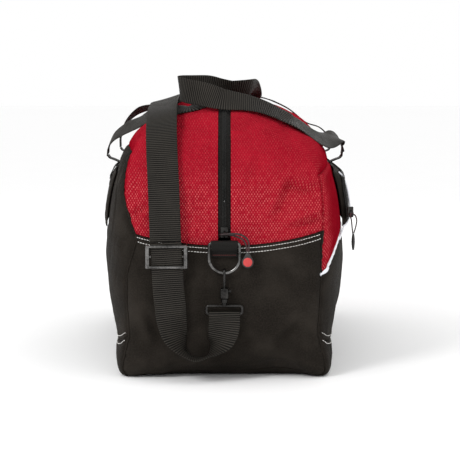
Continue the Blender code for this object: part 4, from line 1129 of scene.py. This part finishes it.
def zip_line(count):
    """Points along the middle, from the near end over the top to the far end, and their normals."""
    t = np.ones(200)
    share = np.linspace(0.06, float(share_at(1.0, 0.36)), 200)
    near = on_end(NEAR, RIGHT, t, share)
    top = on_side(RIGHT, np.ones(300), np.linspace(-0.36, 0.36, 300))
    far = near[::-1] * np.array((1, -1, 1))
    line = resampled(np.concatenate([near[:-1], top, far[1:]]), np.linspace(0, 1, count))
    line[:, 0] = 0.0
    ahead = np.gradient(line, axis=0)
    normals = np.cross(np.array((1.0, 0, 0)), ahead)
    normals /= np.linalg.norm(normals, axis=1, keepdims=True)
    if normals[count // 2, 2] < 0:
        normals = -normals
    return line, normals


def main_zip():
    line, normals = zip_line(420)
    lift = RELIEF(line)
    line = line + normals * lift[:, None]
    far = run_of(line)
    for side in SIDES:
        name = SIDE_NAME[side]
        rings, uv = [], []
        for k in range(0, len(line), 2):
            ring = []
            profile = [(0.0006, -0.0016), (0.004, -0.0014), (0.0095, -0.0019), (0.0135, -0.0026)]
            for x, out in profile:
                ring.append(line[k] + normals[k] * out + np.array((side * x, 0, 0)))
                uv.append((x, far[k]))
            for x, out in reversed(profile):
                ring.append(line[k] + normals[k] * (out - 0.0009) + np.array((side * x, 0, 0)))
                uv.append((x, far[k]))
            rings.append(ring)
        tape = loft(f"zip_half_{name}", rings, "tape", uv)
        items, pitch = [], 0.0022
        for k in range(int(far[-1] / pitch)):
            want = (k + (0.25 if side == LEFT else 0.75)) * pitch
            centre, out = at_length(want, far, line), at_length(want, far, normals)
            items.append((centre + out * -0.0003 + np.array((side * 0.0017, 0, 0)), (side, 0, 0), 0.0035, out))
        coil = pills(f"zip_coil_{name}", items, 0.00092, "coil", 0.9)
        nodes = ["zip_tape_near", "zip_tape_far", f"zip_tape_top_{name}"]
        pinned(tape, name, nodes)
        pinned(coil, name)
        sewn = dashes(line + normals * -0.0011 + np.array((side * 0.0082, 0, 0)), normals, 0.0035, 0.0026)
        pinned(pills(f"zip_stitches_{name}", sewn, 0.0004, "coil"), name)


def pull_cords():
    for end in ENDS:
        name = END_NAME[end]
        tab_x, tab_z, tab_y = 0.0372, 0.1915, end * 0.4262
        bridge_y, bridge_z = SLIDER_Y + BRIDGE_LIFT, SLIDER_Z - BRIDGE_BACK
        loop = [
            (tab_x - 0.0012, 0.4262, tab_z + 0.0165), (0.0352, 0.4262, 0.2165), (0.0315, 0.4258, 0.2255),
            (0.024, 0.423, 0.2305), (0.0135, 0.418, 0.2335), (0.005, bridge_y, bridge_z),
            (-0.0032, bridge_y, bridge_z),
            (-0.0062, bridge_y + 0.0035, bridge_z + 0.0005), (-0.004, bridge_y + 0.0077, bridge_z + 0.001),
            (0.0035, bridge_y + 0.0085, bridge_z + 0.0018), (0.013, 0.4248, 0.2368), (0.026, 0.4262, 0.2356),
            (0.0362, 0.427, 0.2285), (0.0392, 0.4262, 0.218), (tab_x + 0.0012, 0.4262, tab_z + 0.0165),
        ]
        route = smooth([at_end(end, p) for p in loop], 150)
        cord = tube(f"pull_cord_{name}", route, 0.0015, "cord", 10, braid=0.12)
        pinned(cord, f"{name}_pull", [f"main_pull_cord_{name}"])
        # teardrop tab, its edge rounded, with a round inlay on the face
        profile = arc((tab_x, tab_z), 0.0094, 160, 380, 33) + arc((tab_x, tab_z + 0.0125), 0.0032, 30, 150, 13)
        middle = np.array((tab_x, tab_z + 0.002))
        rings, uv = [], []
        face = ((0.05, 1.0), (0.8, 1.0), (0.93, 0.8), (1.0, 0.3))
        for scale, depth in (*face, *((scale, -depth) for scale, depth in reversed(face))):
            ring = []
            for x, z in profile:
                at = middle + scale * (np.array((x, z)) - middle)
                ring.append((at[0], tab_y + end * 0.0018 * depth, at[1]))
                uv.append(tuple(at))
            rings.append(ring)
        tab = loft(f"pull_tab_{name}", rings, "rubber", uv)
        rings, uv = [], []
        steps = ((0.0004, 0.003), (0.0055, 0.0028), (0.0069, 0.0024), (0.0074, 0.0017), (0.0074, 0.0008))
        for radius, out in steps:
            circle = [(radius * math.cos(a), radius * math.sin(a)) for a in turns(36)]
            ring = [(tab_x + x, tab_y + end * out, tab_z + z) for x, z in circle]
            uv += [(p[0], p[2]) for p in ring]
            rings.append(ring)
        dot = loft(f"pull_dot_{name}", rings, "dot", uv)
        pinned(tab, f"{name}_pull", [f"main_pull_tab_{name}"])
        pinned(dot, f"{name}_pull")


# ---------------------------------------------------------------- hardware


def bar_mesh(points, radius, sides=20, cyclic=False):
    """bmesh of a round bar along points."""
    bm, rings, up, count = bmesh.new(), [], Vector((1, 0, 0)), len(points)
    for k, point in enumerate(points):
        before = points[k - 1] if cyclic or k else point
        after = points[(k + 1) % count] if cyclic or k < count - 1 else point
        along = (Vector(after) - Vector(before)).normalized()
        if abs(along.dot(up)) > 0.95:
            up = Vector((0, 1, 0))
        first = (up - along * up.dot(along)).normalized()
        second, up = along.cross(first), first
        ring = [Vector(point) + radius * (first * math.cos(a) + second * math.sin(a)) for a in turns(sides)]
        rings.append([bm.verts.new(p) for p in ring])
    for low, high in list(zip(rings, rings[1:])) + ([(rings[-1], rings[0])] if cyclic else []):
        for j in range(sides):
            bm.faces.new((low[j], low[(j + 1) % sides], high[(j + 1) % sides], high[j]))
    if not cyclic:
        bm.faces.new(rings[0])
        bm.faces.new(rings[-1])
    return bm


def block(size, centre, bevel=0.0, segments=4):
    bm = bmesh.new()
    bmesh.ops.create_cube(bm, size=1.0, matrix=Matrix.Translation(centre) @ Matrix.Diagonal((*size, 1.0)))
    if bevel:
        bmesh.ops.bevel(bm, geom=bm.edges[:], offset=bevel, segments=segments, profile=0.5, affect="EDGES")
    return bm


def rod(a, b, radius, sides=24):
    return bar_mesh([Vector(a), Vector(b)], radius, sides)


def raw(name, bm):
    bmesh.ops.recalc_face_normals(bm, faces=bm.faces)
    mesh = bpy.data.meshes.new(name)
    bm.to_mesh(mesh)
    bm.free()
    made = bpy.data.objects.new(name, mesh)
    bpy.context.scene.collection.objects.link(made)
    return made


def combined(name, look, first, unions=(), cuts=()):
    """One hard piece: the first shape with others joined to it and cutters taken away."""
    made, helpers = raw(name, first), []
    for operation, shapes in (("UNION", unions), ("DIFFERENCE", cuts)):
        for shape in shapes:
            helper = raw(name + "_tool", shape)
            tool = made.modifiers.new(operation, "BOOLEAN")
            tool.operation, tool.object = operation, helper
            helpers.append(helper)
    bpy.context.view_layer.update()
    evaluated(made)
    for helper in helpers:
        bpy.data.objects.remove(helper)
    made.data.materials.clear()
    made.data.materials.append(LOOKS[look])
    made.data.shade_smooth()
    made.data.set_sharp_from_angle(angle=math.radians(32))
    return made


def end_hardware():
    """Ring, snap hook with its gate, swivel base and slider of each end."""
    for end in ENDS:
        name = END_NAME[end]
        half, corner = 0.0245, 0.005
        bow = [(-half + corner, RING_Z), (half - corner, RING_Z)]
        bow += arc((half - corner, RING_Z - corner), corner, 80, 0, 9)
        bow += arc((0, RING_Z - RING_DEPTH + half), half, 0, -180, 49)
        bow += arc((-half + corner, RING_Z - corner), corner, 180, 100, 9)
        points = [at_end(end, (x, RING_Y, z)) for x, z in bow]
        ring = tube(f"ring_{name}", points, 0.0026, "bright", 18, cyclic=True)
        pinned(ring, f"{name}_strap_end", [f"d_ring_{name}"])

        top, reach = RING_Z - RING_DEPTH + 0.0008, 0.005
        shank = [(0, RING_Y - reach, 0.146), (0, RING_Y - reach, 0.165)]
        shank += [(0, y, z) for y, z in arc((RING_Y, top), reach, 180, 0, 17)]
        shank += [(0, RING_Y + reach, top - 0.006), (0, RING_Y + reach, 0.1605)]
        barrel = block((0.013, 0.0172, 0.018), at_end(end, (0, RING_Y, 0.141)), 0.003, 5)
        gate_y = RING_Y + reach
        bore = rod(at_end(end, (0, gate_y, 0.1352)), at_end(end, (0, gate_y, 0.16)), 0.0021)
        window = block((0.012, 0.0034, 0.0118), at_end(end, (0.006, gate_y, 0.1411)))
        socket = rod(at_end(end, (0, EYE_Y, 0.122)), at_end(end, (0, EYE_Y, 0.1385)), 0.0026)
        stem = bar_mesh([at_end(end, p) for p in shank], 0.0021)
        hook = combined(f"hook_{name}", "metal", barrel, [stem], [bore, window, socket])
        pinned(hook, f"{name}_strap_end", [f"snap_hook_{name}"])

        pin = rod(at_end(end, (0, gate_y, 0.1428)), at_end(end, (0, gate_y, 0.1598)), 0.00175)
        thumb = rod(at_end(end, (0, gate_y, 0.1451)), at_end(end, (0.0082, gate_y, 0.1451)), 0.0012, 14)
        knob = rod(at_end(end, (0.0078, gate_y, 0.1451)), at_end(end, (0.0108, gate_y, 0.1451)), 0.0026)
        gate = combined(f"gate_{name}", "metal", pin, [thumb, knob])
        pinned(gate, f"{name}_gate", [f"hook_gate_{name}"])

        low, high, wide, corner = EYE_Z, 0.1205, 0.0285, 0.004
        loop = []
        for cx, cz, start in ((wide - corner, high - corner, 90), (wide - corner, low + corner, 0),
                              (-wide + corner, low + corner, -90), (-wide + corner, high - corner, 180)):
            loop += arc((cx, cz), corner, start, start - 90, 8)
        eye = bar_mesh([at_end(end, (x, EYE_Y, z)) for x, z in loop], 0.0022, 16, cyclic=True)
        post = rod(at_end(end, (0, EYE_Y, high)), at_end(end, (0, EYE_Y, 0.1378)), 0.0022)
        collar = rod(at_end(end, (0, EYE_Y, 0.1265)), at_end(end, (0, EYE_Y, 0.1314)), 0.0055)
        neck = rod(at_end(end, (0, EYE_Y, high)), at_end(end, (0, EYE_Y, 0.1275)), 0.0036)
        base = combined(f"swivel_{name}", "metal", eye, [post, collar, neck])
        pinned(base, f"{name}_strap_end", [f"hook_base_{name}"])

        out, along = (0, end, 0.02), (0, -end * 0.02, 1)
        where = (0, end * SLIDER_Y, SLIDER_Z)
        slider_piece(f"slider_{name}", where, out, along, f"{name}_slider", f"main_slider_{name}")


def slide_buckle():
    front, back, wide, tall = STRAP_Y + 0.0037, STRAP_Y - 0.0037, 0.0305, 0.0165

    def bar(y, z):
        return rod(*(at_end(NEAR, (BUCKLE_X + k * wide, y, z)) for k in (-1, 1)), 0.0024, 18)

    size = (0.0062, front - back + 0.0044, 2 * tall + 0.0054)
    centres = [at_end(NEAR, (BUCKLE_X + k * wide, (front + back) / 2, BUCKLE_Z)) for k in (-1, 1)]
    shapes = [*(block(size, c, 0.0022, 5) for c in centres), bar(front, BUCKLE_Z - tall), bar(back, BUCKLE_Z)]
    buckle = combined("tri_glide", "bright", bar(front, BUCKLE_Z + tall), shapes)
    pinned(buckle, "strap_buckle", ["slide_buckle"])


def slider_piece(name, centre, out, along, body, node):
    out, along = Vector(out).normalized(), Vector(along).normalized()
    across = along.cross(out)
    turn = Matrix((across, along, out)).transposed().to_4x4()
    plate = block((0.0125, 0.018, 0.0038), (0, 0, 0.0033), 0.0015, 4)
    arch = [(0.005 - BRIDGE_BACK, 0.004), *arc((-BRIDGE_BACK, BRIDGE_LIFT), 0.005, 0, 180, 17)]
    arch.append((-0.005 - BRIDGE_BACK, 0.004))
    bridge = bar_mesh([Vector((0, y, z)) for y, z in arch], 0.001, 12)
    made = combined(name, "metal", plate, [bridge], [block((0.0078, 0.03, 0.0024), (0, 0, 0.0012))])
    made.data.transform(Matrix.Translation(centre) @ turn)
    pinned(made, body, [node])


# ---------------------------------------------------------------- webbing

ACROSS, ALONG = Vector((1, 0, 0)), Vector((0, 1, 0))


def ring_tabs():
    around = arc((RING_Y, RING_Z), 0.0036, 195, -10, 7)
    route = [(0.4117, 0.1985), (0.4118, 0.208), (0.4135, 0.2165), *around]
    route += [(0.4215, 0.211), (0.4158, 0.2045), (0.4149, 0.1985)]
    for end in ENDS:
        name = END_NAME[end]
        placed = [(at_end(end, (0, y, z)), ACROSS) for y, z in route]
        tab = ribbon(f"tab_{name}", placed, "tape", TAB_WIDTH, 0.0014, 0.0015)
        pinned(tab, "bag", [f"ring_tab_{name}"])
        x = np.linspace(-0.0195, 0.0195, 30)
        points = np.stack([x, np.full(30, end * 0.4164), np.full(30, 0.2018)], axis=1)
        normals = np.tile(np.array((0.0, end, -0.4)), (30, 1))
        sewn = dashes(points, normals, 0.0032, 0.0024)
        pinned(pills(f"tab_stitches_{name}", sewn, 0.0005, "red_thread"), "bag")


def strap():
    eye = arc((EYE_Y, EYE_Z), 0.0036, 180, 0, 7)
    route = [((0, EYE_Y - 0.0036, 0.0935), ACROSS)] + [((0, y, z), ACROSS) for y, z in eye]
    route += [
        ((0, 0.4245, 0.094), ACROSS),
        ((-0.0025, 0.4285, 0.076), (1, 0.25, 0.1)),
        ((-0.009, 0.4335, 0.057), (0.75, 0.6, 0.3)),
        ((-0.026, 0.4375, 0.0415), (0.3, 1, 0.25)),
        ((-0.047, 0.4385, 0.0375), (0, 1, 0)),
        ((-0.0655, 0.4375, 0.049), (-0.4, 1, 0.2)),
        ((-0.0775, 0.4345, 0.07), (-0.85, 0.7, 0.2)),
        ((-0.0838, 0.4295, 0.0985), (-1, 0.3, 0)),
        ((-0.0868, STRAP_Y, 0.124), (-1, 0.06, 0)),
        *(((BUCKLE_X + STRAP_LEAN * (z - BUCKLE_Z), STRAP_Y, z), (-1, 0, 0))
          for z in (0.144, 0.172, 0.2, 0.2225)),
    ]
    for end in ENDS:
        name = END_NAME[end]
        placed = [(at_end(end, p), (w[0], end * w[1], w[2])) for p, w in route]
        low = ribbon(f"strap_tail_{name}", placed, "web", STRAP_WIDTH, step=0.003, cup=0.0006)
        start, stop = (0, end * RING_Y, 0.2265), (0, end * RING_Y, 0.205)
        pinned(low, ("bag", f"{name}_strap_end", start, stop), [f"strap_loop_{name}"])
    rise = [
        ((-0.0938, STRAP_Y, 0.2232), ACROSS), ((-0.0952, 0.4245, 0.27), ACROSS),
        ((-0.0965, 0.4205, 0.305), ACROSS), ((-0.098, 0.4145, 0.335), ACROSS),
        ((-0.0995, 0.4065, 0.36), ACROSS), ((-0.1012, 0.386, 0.3945), (1, 0, 0.06)),
        ((-0.1018, 0.358, 0.4185), (1, 0, 0.14)), ((-0.102, 0.32, 0.4345), (1, 0, 0.2)),
        ((-0.102, 0.265, 0.4435), (1, 0, 0.25)),
        ((-0.102, 0.18, 0.4488), (1, 0, 0.28)), ((-0.102, 0.08, 0.4478), (1, 0, 0.3)),
    ]
    near = [(at_end(NEAR, p), w) for p, w in rise]
    far = [(at_end(FAR, p), w) for p, w in reversed(rise)]
    upper = ribbon("strap_upper", near + far, "web", STRAP_WIDTH, step=0.004, cup=0.0008, wander=0.0012)
    pinned(upper, "left", ["strap_riser_near", "strap_riser_far", "shoulder_strap"])


def laid(x, y, wide, lift=0.0):
    """A place on a handle that lies over the top, its lower edge resting on the cloth."""
    point, normal = dome(x, y)
    wide = Vector(wide).normalized()
    rest = abs(wide.dot(normal)) * HANDLE_WIDTH / 2 + WEBBING / 2 + 0.0012
    sunk = float(RELIEF(np.array([tuple(point)]))[0])
    return point + normal * (rest + lift + min(sunk, 0.0)), wide


def handles():
    back = (0, -0.12, 1)

    def leaning(x, y, along, upright, lift=0.0):
        """A place on the front run: flat on the dome where upright is 0."""
        flat = dome(x, y)[1].cross(Vector(along)).normalized()
        return laid(x, y, (flat if flat.z > 0 else -flat).lerp(Vector((0, 0.1, 1)), upright), lift)

    right = [
        ((0.2035, -0.165, 0.3522), ALONG), ((0.204, -0.1675, 0.366), ALONG),
        ((0.193, -0.182, 0.383), (0, 1, 0.15)),
        leaning(0.16, -0.243, (-0.5, -0.7, 0.4), 0.0, 0.006),
        leaning(0.119, -0.303, (-0.8, -0.2, 0.35), 0.1, 0.003),
        leaning(0.087, -0.303, (-1, 0, 0.3), 0.2, 0.0025), leaning(0.058, -0.302, (-1, 0, 0.2), 0.3, 0.0025),
        leaning(0.03, -0.304, (-1, 0, 0.1), 0.4, 0.003),
        leaning(-0.004, -0.308, (-1, 0, 0), 0.6, 0.0035), ((-0.036, -0.306, 0.4575), (0, 0.2, 1)),
        ((-0.0605, -0.2985, 0.462), (0, 0, 1)),
        ((-0.0745, -0.284, 0.4665), (-0.1, -0.05, 1)), ((-0.0725, -0.268, 0.4685), (-0.15, -0.05, 1)),
        ((-0.055, -0.257, 0.469), back), ((-0.03, -0.252, 0.469), back),
        ((-0.008, -0.2505, 0.4665), (0, -0.6, 1)),
        ((0.012, -0.25, 0.465), (0, -0.95, 1)), ((0.03, -0.247, 0.465), (0, -0.8, 1)),
        ((0.043, -0.238, 0.4645), (0.2, -0.5, 1)),
        ((0.0465, -0.215, 0.463), (0.6, -0.2, 1)),
        ((0.045, -0.175, 0.458), (1, 0, 0.5)), laid(0.044, -0.12, (1, 0, -0.05), 0.004),
        laid(0.044, -0.03, (1, 0, -0.2), 0.003),
        laid(0.048, 0.05, (1, 0, -0.2), 0.003), laid(0.06, 0.115, (0.9, -0.6, -0.25), 0.004),
        laid(0.086, 0.152, (0.35, -1, -0.12), 0.0045), laid(0.12, 0.165, (0, -1, 0), 0.004),
        laid(0.15, 0.166, (0, -1, 0), 0.005),
        ((0.183, 0.165, 0.39), (0, -1, 0)), ((0.2, 0.165, 0.3715), (0, -1, 0)),
        ((0.2035, 0.165, 0.3522), (0, -1, 0)),
    ]
    left = [
        ((-0.2035, -0.165, 0.3522), ALONG), ((-0.2015, -0.167, 0.3655), (0, 1, 0.1)),
        ((-0.1925, -0.173, 0.3825), (0, 1, 0.35)),
        ((-0.173, -0.188, 0.3965), (0, 1, 0.5)), laid(-0.143, -0.212, (0, 1, 0.4), 0.003),
        laid(-0.112, -0.248, (-0.2, 1, 0.35), 0.001),
        laid(-0.078, -0.283, (-0.35, 1, 0.2)), laid(-0.053, -0.2885, (-0.6, 1, 0.1)),
        laid(-0.036, -0.27, (-1, 0.75, 0)),
        laid(-0.0255, -0.235, (-1, 0.25, -0.05)),
        laid(-0.0232, -0.17, (-1, 0, -0.06)), laid(-0.0232, 0.0, (-1, 0, -0.06)),
        laid(-0.0232, 0.09, (-1, 0, -0.06)),
        laid(-0.028, 0.135, (-1, -0.4, -0.08)), laid(-0.05, 0.16, (-0.4, -1, -0.03)),
        laid(-0.078, 0.166, (0, -1, 0)),
        laid(-0.102, 0.166, (0, -1, 0)), ((-0.134, 0.166, 0.43), (0, -1, 0.25)),
        ((-0.166, 0.166, 0.423), (0, -1, 0.35)),
        ((-0.19, 0.165, 0.402), (0, -1, 0.2)), ((-0.2025, 0.165, 0.374), (0, -1, 0)),
        ((-0.2035, 0.165, 0.3522), (0, -1, 0)),
    ]
    for name, route, body in (("right", right, "right_handle"), ("left", left, "left")):
        made = ribbon(f"carry_handle_{name}", route, "web", HANDLE_WIDTH, step=0.003, cup=0.0005)
        pinned(made, body, [f"handle_{name}"])
    feet = [(0.1816, 0.3368), (0.1855, 0.3405), (0.193, 0.3438), (0.2, 0.3466), (0.2035, 0.3512)]
    for end in ENDS:
        for side in SIDES:
            name = f"{END_NAME[end]}_{SIDE_NAME[side]}"
            placed = [(Vector((side * x, end * HANDLE_Y, z)), ALONG) for x, z in feet]
            made = ribbon(f"handle_foot_{name}", placed, "web", HANDLE_WIDTH, step=0.0015)
            pinned(made, SIDE_NAME[side], [f"handle_anchor_{name}"])


# ---------------------------------------------------------------- pockets


def pocket_point(side, y, z):
    """A point on a pocket's outer face, as in the CAD part. Each pocket is the other one turned half round."""
    across = np.minimum(np.abs(y) / POCKET_HALF_LENGTH, 1.0)
    up = np.minimum(np.abs(z - (POCKET_BOTTOM + POCKET_TOP) / 2) / ((POCKET_TOP - POCKET_BOTTOM) / 2), 1.0)
    proud = 0.0045 + (POCKET_DEPTH - 0.0045) * (1 - across**12) ** 0.5 * (1 - up**4) ** 0.5
    if side == LEFT:  # it lies slack towards its near end
        slack = np.clip((y + 0.02) / 0.24, 0, 1)
        proud = proud - (proud - 0.004) * 0.72 * slack * slack * (3 - 2 * slack)
    base = on_side(RIGHT, t_at_height(z), y)
    return np.stack([side * (base[..., 0] + proud), side * base[..., 1], base[..., 2]], axis=-1)


def pocket_frame(side, y, z):
    """A point on a pocket, with the steps ahead and above it and the normal outwards."""
    point = Vector(pocket_point(side, y, z))
    ahead = Vector(pocket_point(side, y + 0.002, z)) - Vector(pocket_point(side, y - 0.002, z))
    above = Vector(pocket_point(side, y, z + 0.002)) - Vector(pocket_point(side, y, z - 0.002))
    out = ahead.cross(above).normalized()
    return point, ahead, above, out if out.x * side > 0 else -out


def pocket_relief(points):
    flat = points.reshape(-1, 3)
    broad = np.array([noise.noise((p[0] / 0.1, p[1] / 0.075, p[2] / 0.05 + 8.1)) for p in flat])
    folds = np.array([abs(noise.noise((p[0] / 0.05, p[1] / 0.06, p[2] / 0.035 + 19.4))) for p in flat])
    folds = 1 - np.minimum(folds * 3, 1)
    return (0.0022 * broad - 0.0022 * folds**2).reshape(points.shape[:-1])


def pockets():
    middle, half = (POCKET_BOTTOM + POCKET_TOP) / 2, (POCKET_TOP - POCKET_BOTTOM) / 2
    for side in SIDES:
        name = SIDE_NAME[side]
        a = np.sin(np.linspace(-1, 1, 110) * math.pi / 2) * 0.35 + np.linspace(-1, 1, 110) * 0.65
        b = np.sin(np.linspace(-1, 1, 34) * math.pi / 2) * 0.5 + np.linspace(-1, 1, 34) * 0.5
        points = pocket_point(side, a[:, None] * POCKET_HALF_LENGTH, middle + b[None] * half)
        normals = grid_normals(points)
        calm = np.clip((1 - np.abs(a[:, None])) / 0.08, 0, 1) * np.clip((1 - np.abs(b[None])) / 0.3, 0, 1)
        shaped = points + normals * (pocket_relief(points) * calm)[..., None]
        made = cloth_piece(f"pocket_cloth_{name}", [(shaped, arc_uv(points))], ("black", "lining"), 0.0016)
        pinned(made, name, [f"pocket_{name}"])

        line = [(-0.2925, 0.25), (-0.2925, 0.27), (-0.2915, 0.295), (-0.284, 0.313), (-0.265, 0.3215)]
        line += [(-0.2, 0.323), (-0.1, 0.3235), (0.0, 0.3235), (0.1, 0.3235), (0.2, 0.323), (0.265, 0.3215)]
        route = []
        for y, z in line:
            point, ahead, above, out = pocket_frame(side, y, z)
            corner = min(max((z - 0.29) / 0.03, 0.0), 1.0)
            wide = ahead.normalized().lerp(-above.normalized(), corner) if y < 0 else -above.normalized()
            route.append((point + out * 0.0022, wide))
        tape = ribbon(f"pocket_tape_{name}", route, "tape", 0.012, 0.0011, step=0.003)
        pinned(tape, name, [f"pocket_zip_{name}"])
        frames, items = strip_frames(route), []
        far = 0.0
        for k in range(1, len(frames)):
            far += (frames[k][0] - frames[k - 1][0]).length
            if far > 0.002 * (len(items) + 1):
                point, along, wide = frames[k]
                face = along.cross(wide)
                face = face if face.x * side > 0 or abs(face.x) < 0.2 and face.y * -side > 0 else -face
                items.append((point + face * 0.0009, wide, 0.0042, face))
        pinned(pills(f"pocket_coil_{name}", items, 0.0008, "coil", 0.8), name)
        pocket_pull(side)


def pocket_pull(side):
    name = SIDE_NAME[side]
    out = Vector((side * 0.55, -side * 0.83, 0)).normalized()
    centre = Vector((side * (0.2044 + float(belly(0.262, 0.2994))), -side * 0.2994, 0.262))
    hang = centre + out * BRIDGE_LIFT + Vector((0, 0, -BRIDGE_BACK))
    body, node = f"{name}_pocket_slider", f"pocket_slider_{name}"
    slider_piece(f"small_slider_{name}", centre, out, (0, 0, 1), body, node)

    def local(a, b, dz):
        aside = Vector((out.y, -out.x, 0))
        return hang + out * a - aside * b + Vector((0, 0, dz))

    loop = [
        local(0.0053, -0.0012, -0.0315), local(0.0066, -0.0035, -0.022), local(0.007, -0.0052, -0.011),
        local(0.0042, -0.0052, -0.0032), local(0.0, -0.003, 0), local(0, 0.0, 0), local(0, 0.003, 0),
        local(0.0042, 0.0052, -0.0032), local(0.0078, 0.0052, -0.011), local(0.007, 0.0035, -0.022),
        local(0.0053, 0.0012, -0.0315),
    ]
    cord = tube(f"small_cord_{name}", smooth(loop, 110), 0.0011, "cord", 10, braid=0.12)
    pinned(cord, f"{name}_pocket_pull", [f"pocket_pull_cord_{name}"])
    low, high = local(0.0053, 0, -0.0595), local(0.0053, 0, -0.0322)
    rings, uv = [], []
    for k in range(15):
        share = k / 14
        size = 0.0021 * (0.55 + 0.45 * math.sin(math.pi * min(max(share, 0.06), 0.94)))
        size *= 1.0 + 0.06 * math.cos(share * 12 * math.pi)  # the grip's ribs
        ring = []
        for a in turns(16):
            ring.append(low.lerp(high, share) + Vector((1.4 * size * math.cos(a), 1.7 * size * math.sin(a), 0)))
            uv.append((a * size, share * 0.027))
        rings.append(ring)
    grip = loft(f"small_grip_{name}", rings, "rubber", uv)
    pinned(grip, f"{name}_pocket_pull", [f"pocket_pull_grip_{name}"])


# ---------------------------------------------------------------- assembly

studio()
LOOKS = make_looks()
for half in SIDES:
    red_dome(half)
black_panels()
end_piping()
white_piping()
pocket_piping()
stitches()
main_zip()
pull_cords()
end_hardware()
slide_buckle()
ring_tabs()
strap()
handles()
pockets()
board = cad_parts["base_board"]
board.data.materials.clear()
board.data.materials.append(LOOKS["board"])

bpy.context.view_layer.update()
